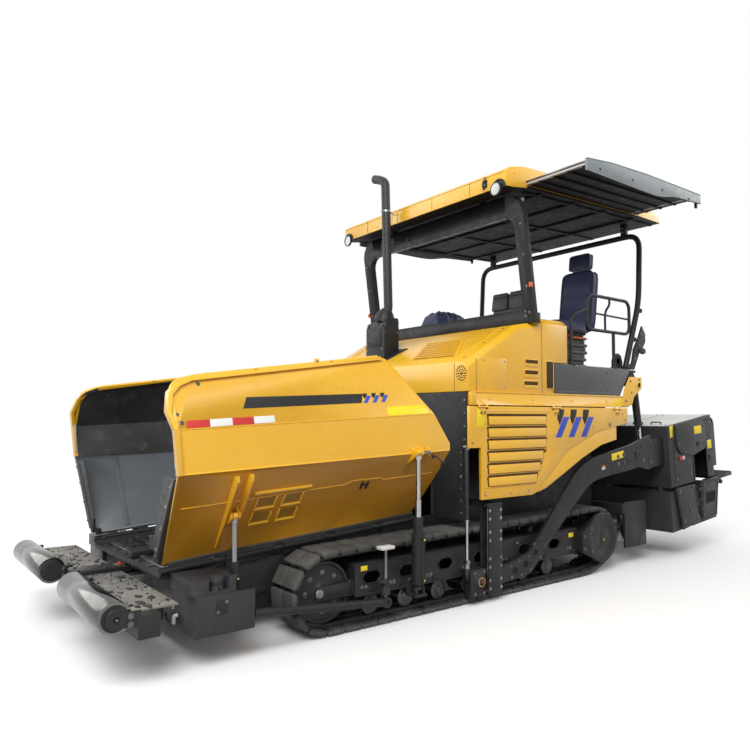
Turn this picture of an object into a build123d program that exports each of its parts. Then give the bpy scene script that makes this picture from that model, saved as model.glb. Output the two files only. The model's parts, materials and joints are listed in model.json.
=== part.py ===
"""Asphalt paver on crawler tracks, as named pieces for a jointed assembly.

Millimetres, +Z up, the machine faces -Y and +X is its left side. Everything is modelled about the machine's
own middle plane x = 0. The export then moves it so that the origin is under the middle of the bounding box.
"""
from build123d import *
from math import atan, atan2, cos, degrees, hypot, radians, sin, tan
import os

# ---------------------------------------------------------------- driving sizes
ORIGIN_SHIFT = (341.0, 3.549)   # middle of the bounding box, seen from the machine's middle plane
PLAY = 0.05                   # radial running clearance of a pin in its bore

TRACK_X = (800.0, 1120.0)     # inner and outer face of a track
IDLER = (-2090.0, 303.0)      # y, z of the front idler's axle
SPROCKET = (1095.0, 360.0)    # y, z of the drive sprocket's axle
TRACK_R = 303.0               # from an axle to the shoes' outer face
TRACK_LIFT = 17.0             # degrees, rise of the lower run in front of the sprocket
SHOE_PITCH = 178.0
SHOE_GAP = 14.0
SHOE_DEPTH = 34.0
BAND = 38.0                   # thickness of the chain under the shoes

HOPPER_Y = (-3165.0, -1030.0)
HINGE_X = TRACK_X[0] - 20
HINGE_Z0 = 553.0              # height of the wing hinge at the hopper's front
HINGE_SLOPE = 0.0712          # rise per unit length towards the rear
HINGE_R = 24.0

WALL_Y = -800.0               # front face of the black wall behind the hopper
WALL_T = 20.0
CHASSIS_X = (TRACK_X[0] - 100, TRACK_X[0] - 60)
CHASSIS_Y = (-2890.0, 1500.0)
BODY_X = TRACK_X[1] + 100     # outer face of the yellow side rails
WING_X = BODY_X + 20          # outer face of a wing between its two bends
RAIL_Z = (1665.0, 1775.0)
PLATFORM_Z = 2066.0

ROLLER_Y, ROLLER_Z, ROLLER_R = -3576.0, 436.0, 92.0

TOW_PIN = (-654.0, 188.0)     # y, z of the tow point pin
TOW_PIN_R = 45.0
SCREED_TILT = 5.5             # degrees, screed raised for transport
ARM_X = (TRACK_X[1] + 28, TRACK_X[1] + 64)

ROOF_SLOPE = 2.0              # degrees, roof rising to the rear


def hinge_z(y):
    """Height of the wing hinge axis at y."""
    return HINGE_Z0 + HINGE_SLOPE * (y - HOPPER_Y[0])


# ---------------------------------------------------------------- helpers
def box(x, y, z):
    """Box from three (low, high) pairs."""
    return Pos(sum(x) / 2, sum(y) / 2, sum(z) / 2) * Box(x[1] - x[0], y[1] - y[0], z[1] - z[0])


def plate_x(points, x):
    """Plate with a (y, z) outline, between the two x values."""
    outline = make_face(Polyline(*[(x[0], p[0], p[1]) for p in points], close=True))
    return extrude(outline, amount=x[1] - x[0], dir=(1, 0, 0))


def plate_y(points, y):
    """Plate with an (x, z) outline, between the two y values."""
    outline = make_face(Polyline(*[(p[0], y[0], p[1]) for p in points], close=True))
    return extrude(outline, amount=y[1] - y[0], dir=(0, 1, 0))


def rod(a, b, r, bore=0.0):
    """Round bar, or a tube if bore is given, from point a to point b."""
    start = Vector(*a)
    along = Vector(*b) - start
    solid = Cylinder(r, along.length, align=(Align.CENTER, Align.CENTER, Align.MIN))
    if bore:
        solid -= Cylinder(bore, along.length, align=(Align.CENTER, Align.CENTER, Align.MIN))
    return Plane(origin=start, z_dir=along) * solid


def bar(a, b, r, sides=16):
    """Plain bar with a many-sided section from point a to point b, for round parts that nothing turns on."""
    start = Vector(*a)
    along = Vector(*b) - start
    return Plane(origin=start, z_dir=along) * extrude(RegularPolygon(r, sides), amount=along.length)


def pipe(points, r, bend, close=False):
    """Bent bar of eight-sided section along the points."""
    path = FilletPolyline(*points, radius=bend, close=close) if len(points) > 2 else Line(*points)
    return sweep(Plane(origin=path @ 0, z_dir=path % 0) * RegularPolygon(r, 8), path=path)


def offset_line(points, t):
    """The 2-D points moved by t to the right of the way they run, with mitred corners."""
    normals = []
    for a, b in zip(points, points[1:]):
        length = hypot(b[0] - a[0], b[1] - a[1])
        normals.append(((b[1] - a[1]) / length, (a[0] - b[0]) / length))
    out = []
    for p, n, m in zip(points, normals[:1] + normals, normals + normals[-1:]):
        scale = t / (1 + n[0] * m[0] + n[1] * m[1])
        out.append((p[0] + (n[0] + m[0]) * scale, p[1] + (n[1] + m[1]) * scale))
    return out


def mirrored(solid):
    """The same piece on the other side of the machine."""
    return mirror(solid, about=Plane.YZ)


def both(solid):
    """The piece and its twin on the other side."""
    return [solid, mirrored(solid)]


def fused(pieces):
    """One solid from pieces that touch."""
    whole = pieces[0]
    for piece in pieces[1:]:
        whole = whole + piece
    return whole


nodes = {}


def node(name, *solids):
    """Keeps the solids for export under this name."""
    flat = []
    for s in solids:
        flat += s if isinstance(s, (list, tuple)) else [s]
    nodes[name] = flat


# ---------------------------------------------------------------- undercarriage
def track_points(offset):
    """Radius and tangent points of the loop around both axles, offset inwards from the shoes' outer face."""
    r = TRACK_R - offset
    (y0, z0), (y1, z1) = IDLER, SPROCKET
    tilt = atan2(z1 - z0, y1 - y0)
    up = (-sin(tilt) * r, cos(tilt) * r)
    lift = radians(TRACK_LIFT)
    leave = (y1 + r * sin(lift), z1 - r * cos(lift))
    meet = (leave[0] - (leave[1] - z0 + r) / tan(lift), z0 - r)
    return r, up, leave, meet


def track_loop(offset, x):
    """Solid inside the loop."""
    r, up, leave, meet = track_points(offset)
    (y0, z0), (y1, z1) = IDLER, SPROCKET
    bottom = (x[0], y0, z0 - r)
    top_front = (x[0], y0 + up[0], z0 + up[1])
    top_rear = (x[0], y1 + up[0], z1 + up[1])
    rear = (x[0], *leave)
    floor = (x[0], *meet)
    edges = [
        ThreePointArc(bottom, (x[0], y0 - r, z0), top_front),
        Line(top_front, top_rear),
        ThreePointArc(top_rear, (x[0], y1 + r, z1), rear),
        Line(rear, floor),
        Line(floor, bottom),
    ]
    return extrude(make_face(edges), amount=x[1] - x[0], dir=(1, 0, 0))


def track():
    """Chain band with shoes in its outline, as one fixed loop."""
    r, up, leave, meet = track_points(SHOE_DEPTH / 2)
    (y0, z0), (y1, z1) = IDLER, SPROCKET
    band = track_loop(0.0, TRACK_X) - track_loop(SHOE_DEPTH + BAND, TRACK_X)
    width = TRACK_X[1] - TRACK_X[0] + 10
    middle = sum(TRACK_X) / 2
    cuts = []

    def gap(y, z, angle):
        cuts.append(Pos(middle, y, z) * Rot(angle, 0, 0) * Box(width, SHOE_GAP, SHOE_DEPTH + 2))

    def gaps_along(a, b):
        count = round(hypot(b[0] - a[0], b[1] - a[1]) / SHOE_PITCH)
        angle = degrees(atan2(b[1] - a[1], b[0] - a[0]))
        for i in range(count):
            t = (i + 0.5) / count
            gap(a[0] + (b[0] - a[0]) * t, a[1] + (b[1] - a[1]) * t, angle)

    def gaps_around(centre, start, end):
        count = round(radians(abs(end - start)) * TRACK_R / SHOE_PITCH)
        for i in range(count + 1):
            a = radians(start + (end - start) * i / count)
            gap(centre[0] + r * cos(a), centre[1] + r * sin(a), degrees(a) + 90)

    gaps_along((y0 + up[0], z0 + up[1]), (y1 + up[0], z1 + up[1]))
    gaps_along((y0, z0 - r), meet)
    gaps_around(IDLER, 91, 270)
    gaps_around(SPROCKET, 91, TRACK_LIFT - 90)
    gap((leave[0] + meet[0]) / 2, (leave[1] + meet[1]) / 2, TRACK_LIFT)
    return band - cuts


node("track_left", track())
node("track_right", mirrored(nodes["track_left"][0]))

WHEEL_R = TRACK_R - SHOE_DEPTH - BAND - 6
FRAME_X = (TRACK_X[0] + 52, TRACK_X[1] - 20)
FRAME_Y = (-1850.0, 770.0)
FRAME_Z = (246.0, 478.0)
FRAME_T = 14.0
WINDOWS_Y = (-1700, -1360, -960, -560, 0, 420)

# wing cylinders: y and (x, z) of the base pin, (x, height) of the rod eye square to the wing's hinge,
# barrel length from its pin, barrel radius, neck radius, rod radius, start of the rod, gap to each ear
WING_CYLINDERS = {
    "rear": (-1318.0, (TRACK_X[1] + 64, 238.0), (WING_X + 32, 1290.0),
             560.0, 52.0, 38.0, 24.0, 507.0, 26.0),
    "front": (-2738.0, (TRACK_X[0] + 185, 262.0), (TRACK_X[1] - 60, 912.0),
              350.0, 34.0, 30.0, 15.0, 316.0, 20.0),
}
CYLINDER_EYE_R = 24.0
CYLINDER_PIN_R = 12.0
EAR_T = 14.0


def square_to_hinge(name, solid):
    """Leans a piece drawn upright at a wing cylinder's base pin, square to the wing's hinge."""
    y, (_, z) = WING_CYLINDERS[name][:2]
    return Pos(0, y, z) * Rot(degrees(atan(HINGE_SLOPE)), 0, 0) * Pos(0, -y, -z) * solid


def cylinder_ears(name, floor_z):
    """Two ears with the base pin of a wing cylinder, standing on the face at floor_z."""
    y, (x, z) = WING_CYLINDERS[name][:2]
    ear_gap = WING_CYLINDERS[name][-1]
    ears = []
    for side in (-1, 1):
        near, far = sorted((y + side * ear_gap, y + side * (ear_gap + EAR_T)))
        ears.append(box((x - 30, x + 30), (near, far), (floor_z, z)) + rod((x, near, z), (x, far, z), 30))
    ears.append(rod((x, y - ear_gap - 1, z), (x, y + ear_gap + 1, z), CYLINDER_PIN_R))
    return [square_to_hinge(name, ear) for ear in ears]


def track_frame():
    """Hollow side beam between idler and sprocket, with oval windows in its outer face."""
    beam = box(FRAME_X, FRAME_Y, FRAME_Z)
    beam -= box((FRAME_X[0] + FRAME_T, FRAME_X[1] - FRAME_T), (FRAME_Y[0] + FRAME_T, FRAME_Y[1] - FRAME_T),
                (FRAME_Z[0] + FRAME_T, FRAME_Z[1] - FRAME_T))
    for y in WINDOWS_Y:
        window = chamfer(Box(60, 150, 84).edges().filter_by(Axis.X), 30)
        beam -= Pos(FRAME_X[1], y, 366) * window
    lip = box((FRAME_X[1] - FRAME_T, FRAME_X[1] + 6), FRAME_Y, (FRAME_Z[0] - 10, FRAME_Z[0] + 4))
    yoke_x = ((FRAME_X[0], FRAME_X[0] + 16), (FRAME_X[1] - 44, FRAME_X[1] - 28))
    yokes = [box(x, (-2160, FRAME_Y[0] + 4), (250, 350)) for x in yoke_x]
    y, pin = WING_CYLINDERS["rear"][:2]
    bracket = box((FRAME_X[1], FRAME_X[1] + 26), (y - 60, y + 60), (180, 330))
    bracket += box((FRAME_X[1], pin[0] + 36), (y - 60, y + 60), (180, 196))
    ears = cylinder_ears("rear", 190)
    return fused([beam, lip, bracket] + yokes + ears)


node("track_frames", both(track_frame()))

LOWER_ROLLER_Y = (-1690, -1350, -1010, -670, -330, 10, 350)
WHEEL_X = (TRACK_X[0] + 76, TRACK_X[1] - 74)
ROLLER_X = (TRACK_X[0] + 70, TRACK_X[1] - 50)
lower_rollers = [bar((ROLLER_X[0], y, 158), (ROLLER_X[1], y, 158), 76, 24) for y in LOWER_ROLLER_Y]
top_rollers = [bar((ROLLER_X[0] + 20, y, 514), (ROLLER_X[1] - 20, y, 514), 32) for y in (-1200, 150)]
idler = rod((WHEEL_X[0], *IDLER), (WHEEL_X[1], *IDLER), WHEEL_R)
sprocket = rod((WHEEL_X[0], *SPROCKET), (WHEEL_X[0] + 124, *SPROCKET), WHEEL_R)
node("track_wheels", [w for r in (*lower_rollers, *top_rollers, idler, sprocket) for w in both(r)])

DRIVE_R = 245.0
DRIVE_X = (TRACK_X[1] + 8, TRACK_X[1] + 56)


def final_drive():
    """Round flat cover over the sprocket's hub, cut straight at the front, on a block inside the loop."""
    y, z = SPROCKET
    disc = rod((DRIVE_X[0], y, z), (DRIVE_X[1], y, z), DRIVE_R)
    outline = [(y - 330, z - 112), (y - 330, z + 78), (y - 62, z + 236), (y, z), (y - 110, z - 218)]
    nose = plate_x(outline, DRIVE_X)
    block = box((WHEEL_X[0] + 128, DRIVE_X[0] + 1), (y - 322, y - 60), (z - 100, z + 80))
    return fused([disc, nose, block])


node("final_drives", both(final_drive()))


# ---------------------------------------------------------------- main frame
def chassis_side():
    """Long side plate under the hopper floor and beside the engine."""
    y0, y1 = CHASSIS_Y
    step = WALL_Y + WALL_T + 2
    low = WALL_Y - 12
    rear = [(y0, 300), (y1, 300), (y1, 1740), (step, 1740)]
    front = [(step, hinge_z(low) - 62), (low, hinge_z(low) - 62), (y0, hinge_z(y0) - 62)]
    return plate_x(rear + front, CHASSIS_X)


axle_beams = [box((1 - FRAME_X[0], FRAME_X[0] - 1), (y - 70, y + 70), (300, 440)) for y in (-1500, 500)]
INNER_X = CHASSIS_X[0] + 1
cross_plates = [box((-INNER_X, INNER_X), (y, y + 24), (320, 500)) for y in (CHASSIS_Y[0], -1750)]
rear_wall = box((-INNER_X, INNER_X), (CHASSIS_Y[1] - 24, CHASSIS_Y[1]), (520, 1740))
node("main_frame", fused(both(chassis_side()) + cross_plates + axle_beams + [rear_wall]))


def front_wall():
    """Black wall between the hopper and the engine bay, with a wide tunnel for the conveyor."""
    leg, foot, head = CHASSIS_X[1] + 25, BODY_X - 82, BODY_X - 36
    right = [(leg, 1000), (leg, 700), (foot, 700), (foot, 1330), (head, 1330), (head, RAIL_Z[1])]
    return plate_y(right + [(-x, z) for x, z in right[::-1]], (WALL_Y, WALL_Y + WALL_T))


node("front_wall", front_wall())
node("engine", box((-420, 420), (-300, 900), (1060, 1640)) + box((-500, 500), (-200, 700), (1000, 1061)))

# ---------------------------------------------------------------- hopper
HINGE_COUNT = 5
KNUCKLE = 90.0                # length of a wing's own hinge knuckle
KNUCKLE_GAP = 5.0


def hinge_tubes():
    """(y from, y to) of the tubes on the floor, with room for a wing knuckle after each but the last."""
    step = (HOPPER_Y[1] - HOPPER_Y[0] + KNUCKLE + 2 * KNUCKLE_GAP) / HINGE_COUNT
    length = step - KNUCKLE - 2 * KNUCKLE_GAP
    return [(HOPPER_Y[0] + i * step, HOPPER_Y[0] + i * step + length) for i in range(HINGE_COUNT)]


def hopper_floor():
    """Sloping conveyor floor with the raised middle guide, the sills and the hinge tubes."""
    y0, y1 = HOPPER_Y[0] + 5, WALL_Y - 4

    def along(low, high, x, y=(y0, y1)):
        return plate_x([(y[0], hinge_z(y[0]) + low), (y[1], hinge_z(y[1]) + low),
                        (y[1], hinge_z(y[1]) + high), (y[0], hinge_z(y[0]) + high)], x)

    floor = along(-60, -42, (30 - HINGE_X, HINGE_X - 30))
    guide = along(-43, 80, (-60, 60), (y0 + 200, y1))
    sill = along(-60, -6, (CHASSIS_X[1] + 4, HINGE_X - 12))
    tubes = [rod((HINGE_X, a, hinge_z(a)), (HINGE_X, b, hinge_z(b)), HINGE_R) for a, b in hinge_tubes()]
    for a, b in zip(hinge_tubes(), hinge_tubes()[1:]):
        gap_y = (a[1] - 6, b[0] + 6)
        sill -= box((HINGE_X - HINGE_R - 8, HINGE_X), gap_y, (0, 1000))
    return fused([floor, guide] + both(fused([sill] + tubes)))


node("hopper_floor", hopper_floor())

SLAT_PITCH = 190.0
SLAT_COUNT = 12
SLAT_X = (90.0, CHASSIS_X[1] - 50)


def slats():
    """Bars of the two conveyors, lying on the floor."""
    out = []
    for i in range(SLAT_COUNT):
        y = HOPPER_Y[0] + 110 + i * SLAT_PITCH
        slat = Rot(degrees(atan2(HINGE_SLOPE, 1)), 0, 0) * Box(SLAT_X[1] - SLAT_X[0], 44, 20)
        out += both(Pos(sum(SLAT_X) / 2, y, hinge_z(y) - 31) * slat)
    return out


node("conveyor_slats", slats())

WING_T = 14.0
WING_LEAN = 0.55              # inward lean of the top panel, per unit height
BEND_LOW = (-3230.0, 1208.0, 0.0402)     # y, z and rise per unit length of the lower bend
BEND_HIGH = (-3212.0, 1482.0, 0.052)
WING_OUTLINE = [(-3160, 600), (-3231, 1206), (-3262, 1482), (-3290, 1590), (-3262, 1712), (-3200, 1775),
                (-3110, 1815), (-1560, 2038), (-1500, 2020), (-1205, 1590), (-1035, 1350), (-1035, 1140),
                (-1062, 900), (-1100, 740)]
RIM_T = 26.0
WING_FOOT = (12.0, 34.0)      # start of the lower panel, outside and above the hinge


def on_line(line, y):
    """Height at y of a line given by its y, z and rise."""
    return line[1] + line[2] * (y - line[0])


def panel_x(y, z):
    """Outer face of the wing's lower panel at a height."""
    low = hinge_z(y) + WING_FOOT[1]
    start = HINGE_X + WING_FOOT[0]
    return start + (WING_X - start) * (z - low) / (on_line(BEND_LOW, y) - low)


def wing_layer(inner, outer):
    """The wing's three panels as one sheet between two offsets from its outer face, cut to its outline."""
    ends = []
    for y in (-3420.0, -1020.0):
        low, high = on_line(BEND_LOW, y), on_line(BEND_HIGH, y)
        line = [(HINGE_X + WING_FOOT[0], hinge_z(y) + WING_FOOT[1]), (WING_X, low), (WING_X, high),
                (WING_X - 640 * WING_LEAN, high + 640)]
        corners = offset_line(line, outer) + offset_line(line, inner)[::-1]
        ends.append(make_face(Polyline(*[(x, y, z) for x, z in corners], close=True)))
    return loft(ends, ruled=True) & plate_x(WING_OUTLINE, (600, 1400))


def wing_ears(name):
    """Two ears on the wing's outer face for a cylinder's rod eye, without the pin."""
    y, _, (ex, ez) = WING_CYLINDERS[name][:3]
    ear_gap = WING_CYLINDERS[name][-1]
    top = ez + 70 if name == "front" else on_line(BEND_LOW, y) + 44
    ears = []
    for side in (-1, 1):
        near, far = sorted((y + side * ear_gap, y + side * (ear_gap + EAR_T)))
        heights = (top, min(top - 40, on_line(BEND_LOW, y)), ez - 96)
        foot = [(min(panel_x(y, z), WING_X) - 8, z) for z in heights]
        tri = foot + [(ex + 2, ez - 34), (ex + 25, ez - 14), (ex + 25, ez + 14), (ex + 2, ez + 30)]
        ears.append(square_to_hinge(name, plate_y(tri, (near, far))))
    return ears


def wing():
    """Folded hopper wing: three flat panels, with a rolled rim, knuckles, ribs and ears."""
    sheet = wing_layer(-WING_T, 0)
    line = WING_OUTLINE[1:8]
    rim = wing_layer(-34, 22) & plate_x(line + offset_line(line, RIM_T)[::-1], (600, 1400))
    knuckles = []
    for a, b in zip(hinge_tubes(), hinge_tubes()[1:]):
        ya, yb = a[1] + KNUCKLE_GAP, b[0] - KNUCKLE_GAP
        knuckles.append(rod((HINGE_X, ya, hinge_z(ya)), (HINGE_X, yb, hinge_z(yb)), HINGE_R))
        za = hinge_z(ya)
        inner, outer = (HINGE_X - 4, za + 14), (HINGE_X + 14, za + 4)
        web = [inner, outer, (HINGE_X + 34, za + 60), (HINGE_X + 8, za + 52)]
        knuckles.append(plate_y(web, (ya + 8, yb - 8)))
    ribs = []
    y = WING_CYLINDERS["front"][0]
    for side in (-1, 1):
        near, far = sorted((y + side * 44, y + side * 56))
        rib = [(panel_x(y, z) - 8, z) for z in (650, 1190)]
        rib += [(WING_X + 22, 1190), (WING_X + 22, 1150)]
        rib += [(panel_x(y, 850) + 46, 850), (panel_x(y, 690) + 20, 690)]
        ribs.append(square_to_hinge("front", plate_y(rib, (near, far))))
    return fused([sheet, rim] + knuckles + ribs + wing_ears("rear") + wing_ears("front"))


node("hopper_wing_left", wing())
node("hopper_wing_right", mirrored(nodes["hopper_wing_left"][0]))


def wing_cylinder(name):
    """Barrel and rod of a wing cylinder on the line from its base pin to its rod eye."""
    y, base, eye, barrel_len, barrel_r, neck_r, rod_r, start, ear_gap = WING_CYLINDERS[name]
    length = hypot(eye[0] - base[0], eye[1] - base[1])
    along = ((eye[0] - base[0]) / length, (eye[1] - base[1]) / length)

    def at(distance):
        return base[0] + along[0] * distance, y, base[1] + along[1] * distance

    half = ear_gap - 6
    shoulder = barrel_len * 0.77
    barrel = rod(at(38), at(shoulder), barrel_r) + rod(at(shoulder - 1), at(barrel_len), neck_r)
    barrel -= rod(at(60), at(barrel_len + 1), rod_r + 1)
    barrel += rod(at(12), at(40), half)
    barrel += rod((base[0], y - half, base[1]), (base[0], y + half, base[1]), CYLINDER_EYE_R)
    barrel -= rod((base[0], y - 40, base[1]), (base[0], y + 40, base[1]), CYLINDER_PIN_R + PLAY)
    stem = rod(at(start), at(length - 8), rod_r)
    stem += rod((eye[0], y - half, eye[1]), (eye[0], y + half, eye[1]), CYLINDER_EYE_R)
    return square_to_hinge(name, barrel), square_to_hinge(name, stem)


for name in WING_CYLINDERS:
    barrel, stem = wing_cylinder(name)
    node(f"wing_barrel_{name}_left", barrel)
    node(f"wing_barrel_{name}_right", mirrored(barrel))
    node(f"wing_rod_{name}_left", stem)
    node(f"wing_rod_{name}_right", mirrored(stem))

# ---------------------------------------------------------------- front end
PUSH_PIVOT_Y = -3190.0
PUSH_PIN_R = 30.0
BLOCK_X = (TRACK_X[0] + 22, TRACK_X[1] + 80)
BUMPER_Y = (CHASSIS_Y[0] - 170, CHASSIS_Y[0])


def bumper():
    """Cross beam with a heavy block at each side and a tongue for the push beam."""
    beam = box((-BLOCK_X[0] - 8, BLOCK_X[0] + 8), BUMPER_Y, (206, 470))
    x0, x1 = BLOCK_X
    block = box(BLOCK_X, (-3085, -2697), (206, 455)) - box((x0 + 78, x1 - 22), (-2797, -2690), (230, 460))
    block += box((x0, x1 - 40), (-3110, -2812), (454, 546))
    block -= box((x1 - 110, x1), (-2990, -2860), (470, 560))
    block += bar((x1 - 80, -2925, 469), (x1 - 80, -2925, 556), 42)
    ears = cylinder_ears("front", 229)
    tongue = [box((-110, 110), (PUSH_PIVOT_Y - 50, BUMPER_Y[0] + 1), z) for z in ((276, 292), (408, 424))]
    pin = rod((0, PUSH_PIVOT_Y, 277), (0, PUSH_PIVOT_Y, 423), PUSH_PIN_R)
    return fused([beam, pin] + tongue + both(fused([block] + ears)))


node("front_bumper", bumper())

STUB_R = 22.0
ARM_PLATES_X = (-1284.0, -276.0, 276.0, 1284.0)
ARM_PLATE_T = 28.0


def push_beam():
    """Swinging beam that carries the push rollers, with its top plates and middle nose."""
    beam = box((-1298, 1298), (-3460, -3330), (300, 437))
    plates = box((-1210, 1210), (-3470, -3200), (436, 450))
    nose = box((-90, 90), (-3520, -3130), (449, 480))
    arms = []
    for x in ARM_PLATES_X:
        plate = box((x - ARM_PLATE_T / 2, x + ARM_PLATE_T / 2), (-3620, -3440), (380, 470))
        ends = (x - ARM_PLATE_T / 2, x + ARM_PLATE_T / 2)
        arms.append(plate + rod((ends[0], ROLLER_Y, ROLLER_Z), (ends[1], ROLLER_Y, ROLLER_Z), 60))
    trunnion = box((-100, 100), (-3340, PUSH_PIVOT_Y + 44), (300, 400))
    trunnion -= rod((0, PUSH_PIVOT_Y, 290), (0, PUSH_PIVOT_Y, 410), PUSH_PIN_R + PLAY)
    whole = fused([beam, plates, nose, trunnion] + arms)
    return whole - rod((-1300, ROLLER_Y, ROLLER_Z), (1300, ROLLER_Y, ROLLER_Z), STUB_R + PLAY)


node("push_beam", push_beam())
roller = rod((296, ROLLER_Y, ROLLER_Z), (1264, ROLLER_Y, ROLLER_Z), ROLLER_R)
roller += rod((264, ROLLER_Y, ROLLER_Z), (1296, ROLLER_Y, ROLLER_Z), STUB_R)
node("push_roller_left", roller)
node("push_roller_right", mirrored(roller))


def side_strut():
    """Round strut from the front block back to an eye below a small jack, outside the track."""
    x = TRACK_X[1] + 58
    strut = bar((x, -2691, 290), (x, -1640, 184), 30)
    eye = bar((x - 28, -1630, 184), (x + 28, -1630, 184), 40)
    jack = bar((x, -1630, 184), (x, -1630, 592), 16)
    disc = bar((x, -1650, 332), (x, -1650, 350), 46)
    plate = box((x - 38, x + 38), (-1690, -1570), (586, 598))
    return fused([strut, eye, jack, disc, plate])


node("side_struts", both(side_strut()))

# ---------------------------------------------------------------- body
DOOR_X = (BODY_X - 30, BODY_X - 2)
DOOR_TOP = 1655.0
DOOR_HINGE = (BODY_X + 4, 1648.0)     # x, z of the hinge under the side rail
DOOR_HINGE_R, DOOR_PIN_R = 9.0, 5.0
DOOR_HINGE_Y = (-640.0, 330.0, 1300.0)
DOOR_KNUCKLE = 70.0
DOOR_TAB = 16.0
DOOR_TAB_GAP = 3.0


def door_tabs():
    """Hinge tabs under a side rail, with the pin through each of the door's knuckles."""
    x, z = DOOR_HINGE
    reach = DOOR_KNUCKLE / 2 + DOOR_TAB_GAP
    tabs = []
    for y in DOOR_HINGE_Y:
        for near, far in ((y - reach - DOOR_TAB, y - reach), (y + reach, y + reach + DOOR_TAB)):
            tabs.append(rod((x, near, z), (x, far, z), DOOR_HINGE_R))
            tabs.append(box((DOOR_X[1] - 1, x + 5), (near, far), (z, RAIL_Z[0] + 1)))
            tabs.append(box((DOOR_X[1] - 1, BODY_X), (near, far), (RAIL_Z[0] - 3, RAIL_Z[0] + 10)))
        tabs.append(rod((x, y - reach - 1, z), (x, y + reach + 1, z), DOOR_PIN_R))
    return tabs


node("side_rails", both(fused([box((BODY_X - 70, BODY_X), (-778, 1500), RAIL_Z)] + door_tabs())),
     box((80 - BODY_X, BODY_X - 80), (-778, 1474), (1745, 1765)))

HOOD_OUTLINE = [(-790, 1778), (-790, 2032), (-190, 2391), (60, 2436), (100, 2468), (528, 2476), (528, 2074),
                (328, 2074), (328, 1778)]
HOOD_X = BODY_X - 20
HOOD_T = 8.0
HOOD_BEVEL = 42.0


def bevelled(outline, half_width, bevel):
    """Body across the machine with the side edges of its slope and top bevelled."""
    body = plate_x(outline, (-half_width, half_width))
    edges = []
    for a, b in zip(outline[1:5], outline[2:6]):
        for side in (-half_width, half_width):
            middle = Vector(side, (a[0] + b[0]) / 2, (a[1] + b[1]) / 2)
            edges.append(min(body.edges(), key=lambda edge: (edge.center() - middle).length))
    return chamfer(edges, bevel)


def hood():
    """Engine hood: sloping top, flat rear top, open below."""
    inner = [(-790 + HOOD_T, 1770), (-790 + HOOD_T, 2027), (-187, 2382), (63, 2428), (103, 2460),
             (528 - HOOD_T, 2468), (528 - HOOD_T, 2074 + HOOD_T), (328 - HOOD_T, 2074 + HOOD_T),
             (328 - HOOD_T, 1770)]
    return bevelled(HOOD_OUTLINE, HOOD_X, HOOD_BEVEL) - bevelled(inner, HOOD_X - HOOD_T, HOOD_BEVEL)


node("hood", hood())

DOOR_OUTLINE = [(-796, DOOR_TOP), (-796, 1304), (-660, 1304), (-656, 868), (-17, 868), (53, 890), (69, 920),
                (488, 1249), (942, 1417), (1490, 1505), (1490, DOOR_TOP)]
LOUVRE_COUNT = 6
LOUVRE_PITCH = 108.0


def side_door():
    """Hinged side door with its louvre field and hinge knuckles."""
    leaf = plate_x(DOOR_OUTLINE, DOOR_X)
    for i in range(LOUVRE_COUNT):
        z1 = 1590 - i * LOUVRE_PITCH
        rear = 190 - max(0, i - 3) * 60
        leaf -= box((DOOR_X[0] - 10, DOOR_X[1] + 10), (-590, rear), (z1 - 30, z1))
    x, z = DOOR_HINGE
    half = DOOR_KNUCKLE / 2
    room = half + DOOR_TAB + 2 * DOOR_TAB_GAP + 3
    for y in DOOR_HINGE_Y:
        for near, far in ((y - room, y - half), (y + half, y + room)):
            leaf -= box((DOOR_X[0] - 10, DOOR_X[1] + 10), (near, far), (z - 22, DOOR_TOP + 10))
        leaf += rod((x, y - half, z), (x, y + half, z), DOOR_HINGE_R)
        leaf -= rod((x, y - half - 1, z), (x, y + half + 1, z), DOOR_PIN_R + PLAY)
    return leaf


node("side_door_left", side_door())
node("side_door_right", mirrored(nodes["side_door_left"][0]))

BOX_OUTLINE = [(332, PLATFORM_Z), (1555, PLATFORM_Z), (1365, 1780), (332, 1780)]
BOX_X = (BODY_X - 290, BODY_X - 4)
node("side_boxes", both(plate_x(BOX_OUTLINE, BOX_X)))

LIFT_X = ARM_X[0] - 58
LIFT_PIVOT = (1800.0, 1930.0)     # y, z of the barrel's upper pin
LIFT_EYE = (1930.0, 1200.0)       # y, z of the rod's eye on the arm
LIFT_BARREL = 470.0
LIFT_R, LIFT_ROD_R = 40.0, 20.0
LIFT_GAP = 26.0
LIFT_CLEAR = 6.0                  # between the barrel and the boss on the arm
LIFT_BOSS_R = 55.0


def platform():
    """Operator's floor with its rear wall and the hangers of the lift cylinders."""
    half = BOX_X[0] - 5
    floor = box((-half, half), (532, 1755), (PLATFORM_Z - 26, PLATFORM_Z))
    floor += box((70 - BODY_X, BODY_X - 70), (1562, 1755), (PLATFORM_Z - 26, PLATFORM_Z))
    floor += box((-half, half), (1502, 1520), (1300, PLATFORM_Z - 25))
    hangers = []
    y, z = LIFT_PIVOT
    for x in (LIFT_X - LIFT_GAP - EAR_T, LIFT_X + LIFT_GAP):
        root = [(1740, PLATFORM_Z - 20), (1580, PLATFORM_Z - 20), (1580, 1900)]
        hangers.append(plate_x(root + [(y, z - 36), (y + 36, z), (y, z + 40)], (x, x + EAR_T)))
    hangers.append(rod((LIFT_X - LIFT_GAP - 1, y, z), (LIFT_X + LIFT_GAP + 1, y, z), CYLINDER_PIN_R))
    return fused([floor] + both(fused(hangers)))


node("platform", platform())
node("console", box((120, 620), (590, 760), (2660, 2960)) + box((330, 410), (640, 720), (PLATFORM_Z, 2661)))

NEAR_SEAT = (850.0, 560.0)        # x and y of the cushion's front edge
FAR_SEAT = (-900.0, 560.0)
SEAT_Z = 2425.0
SEAT_W = 430.0


def seat_base(x, y):
    """Bellows pedestal under a seat."""
    return box((x - 180, x + 180), (y + 130, y + 500), (PLATFORM_Z, SEAT_Z))


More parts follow.
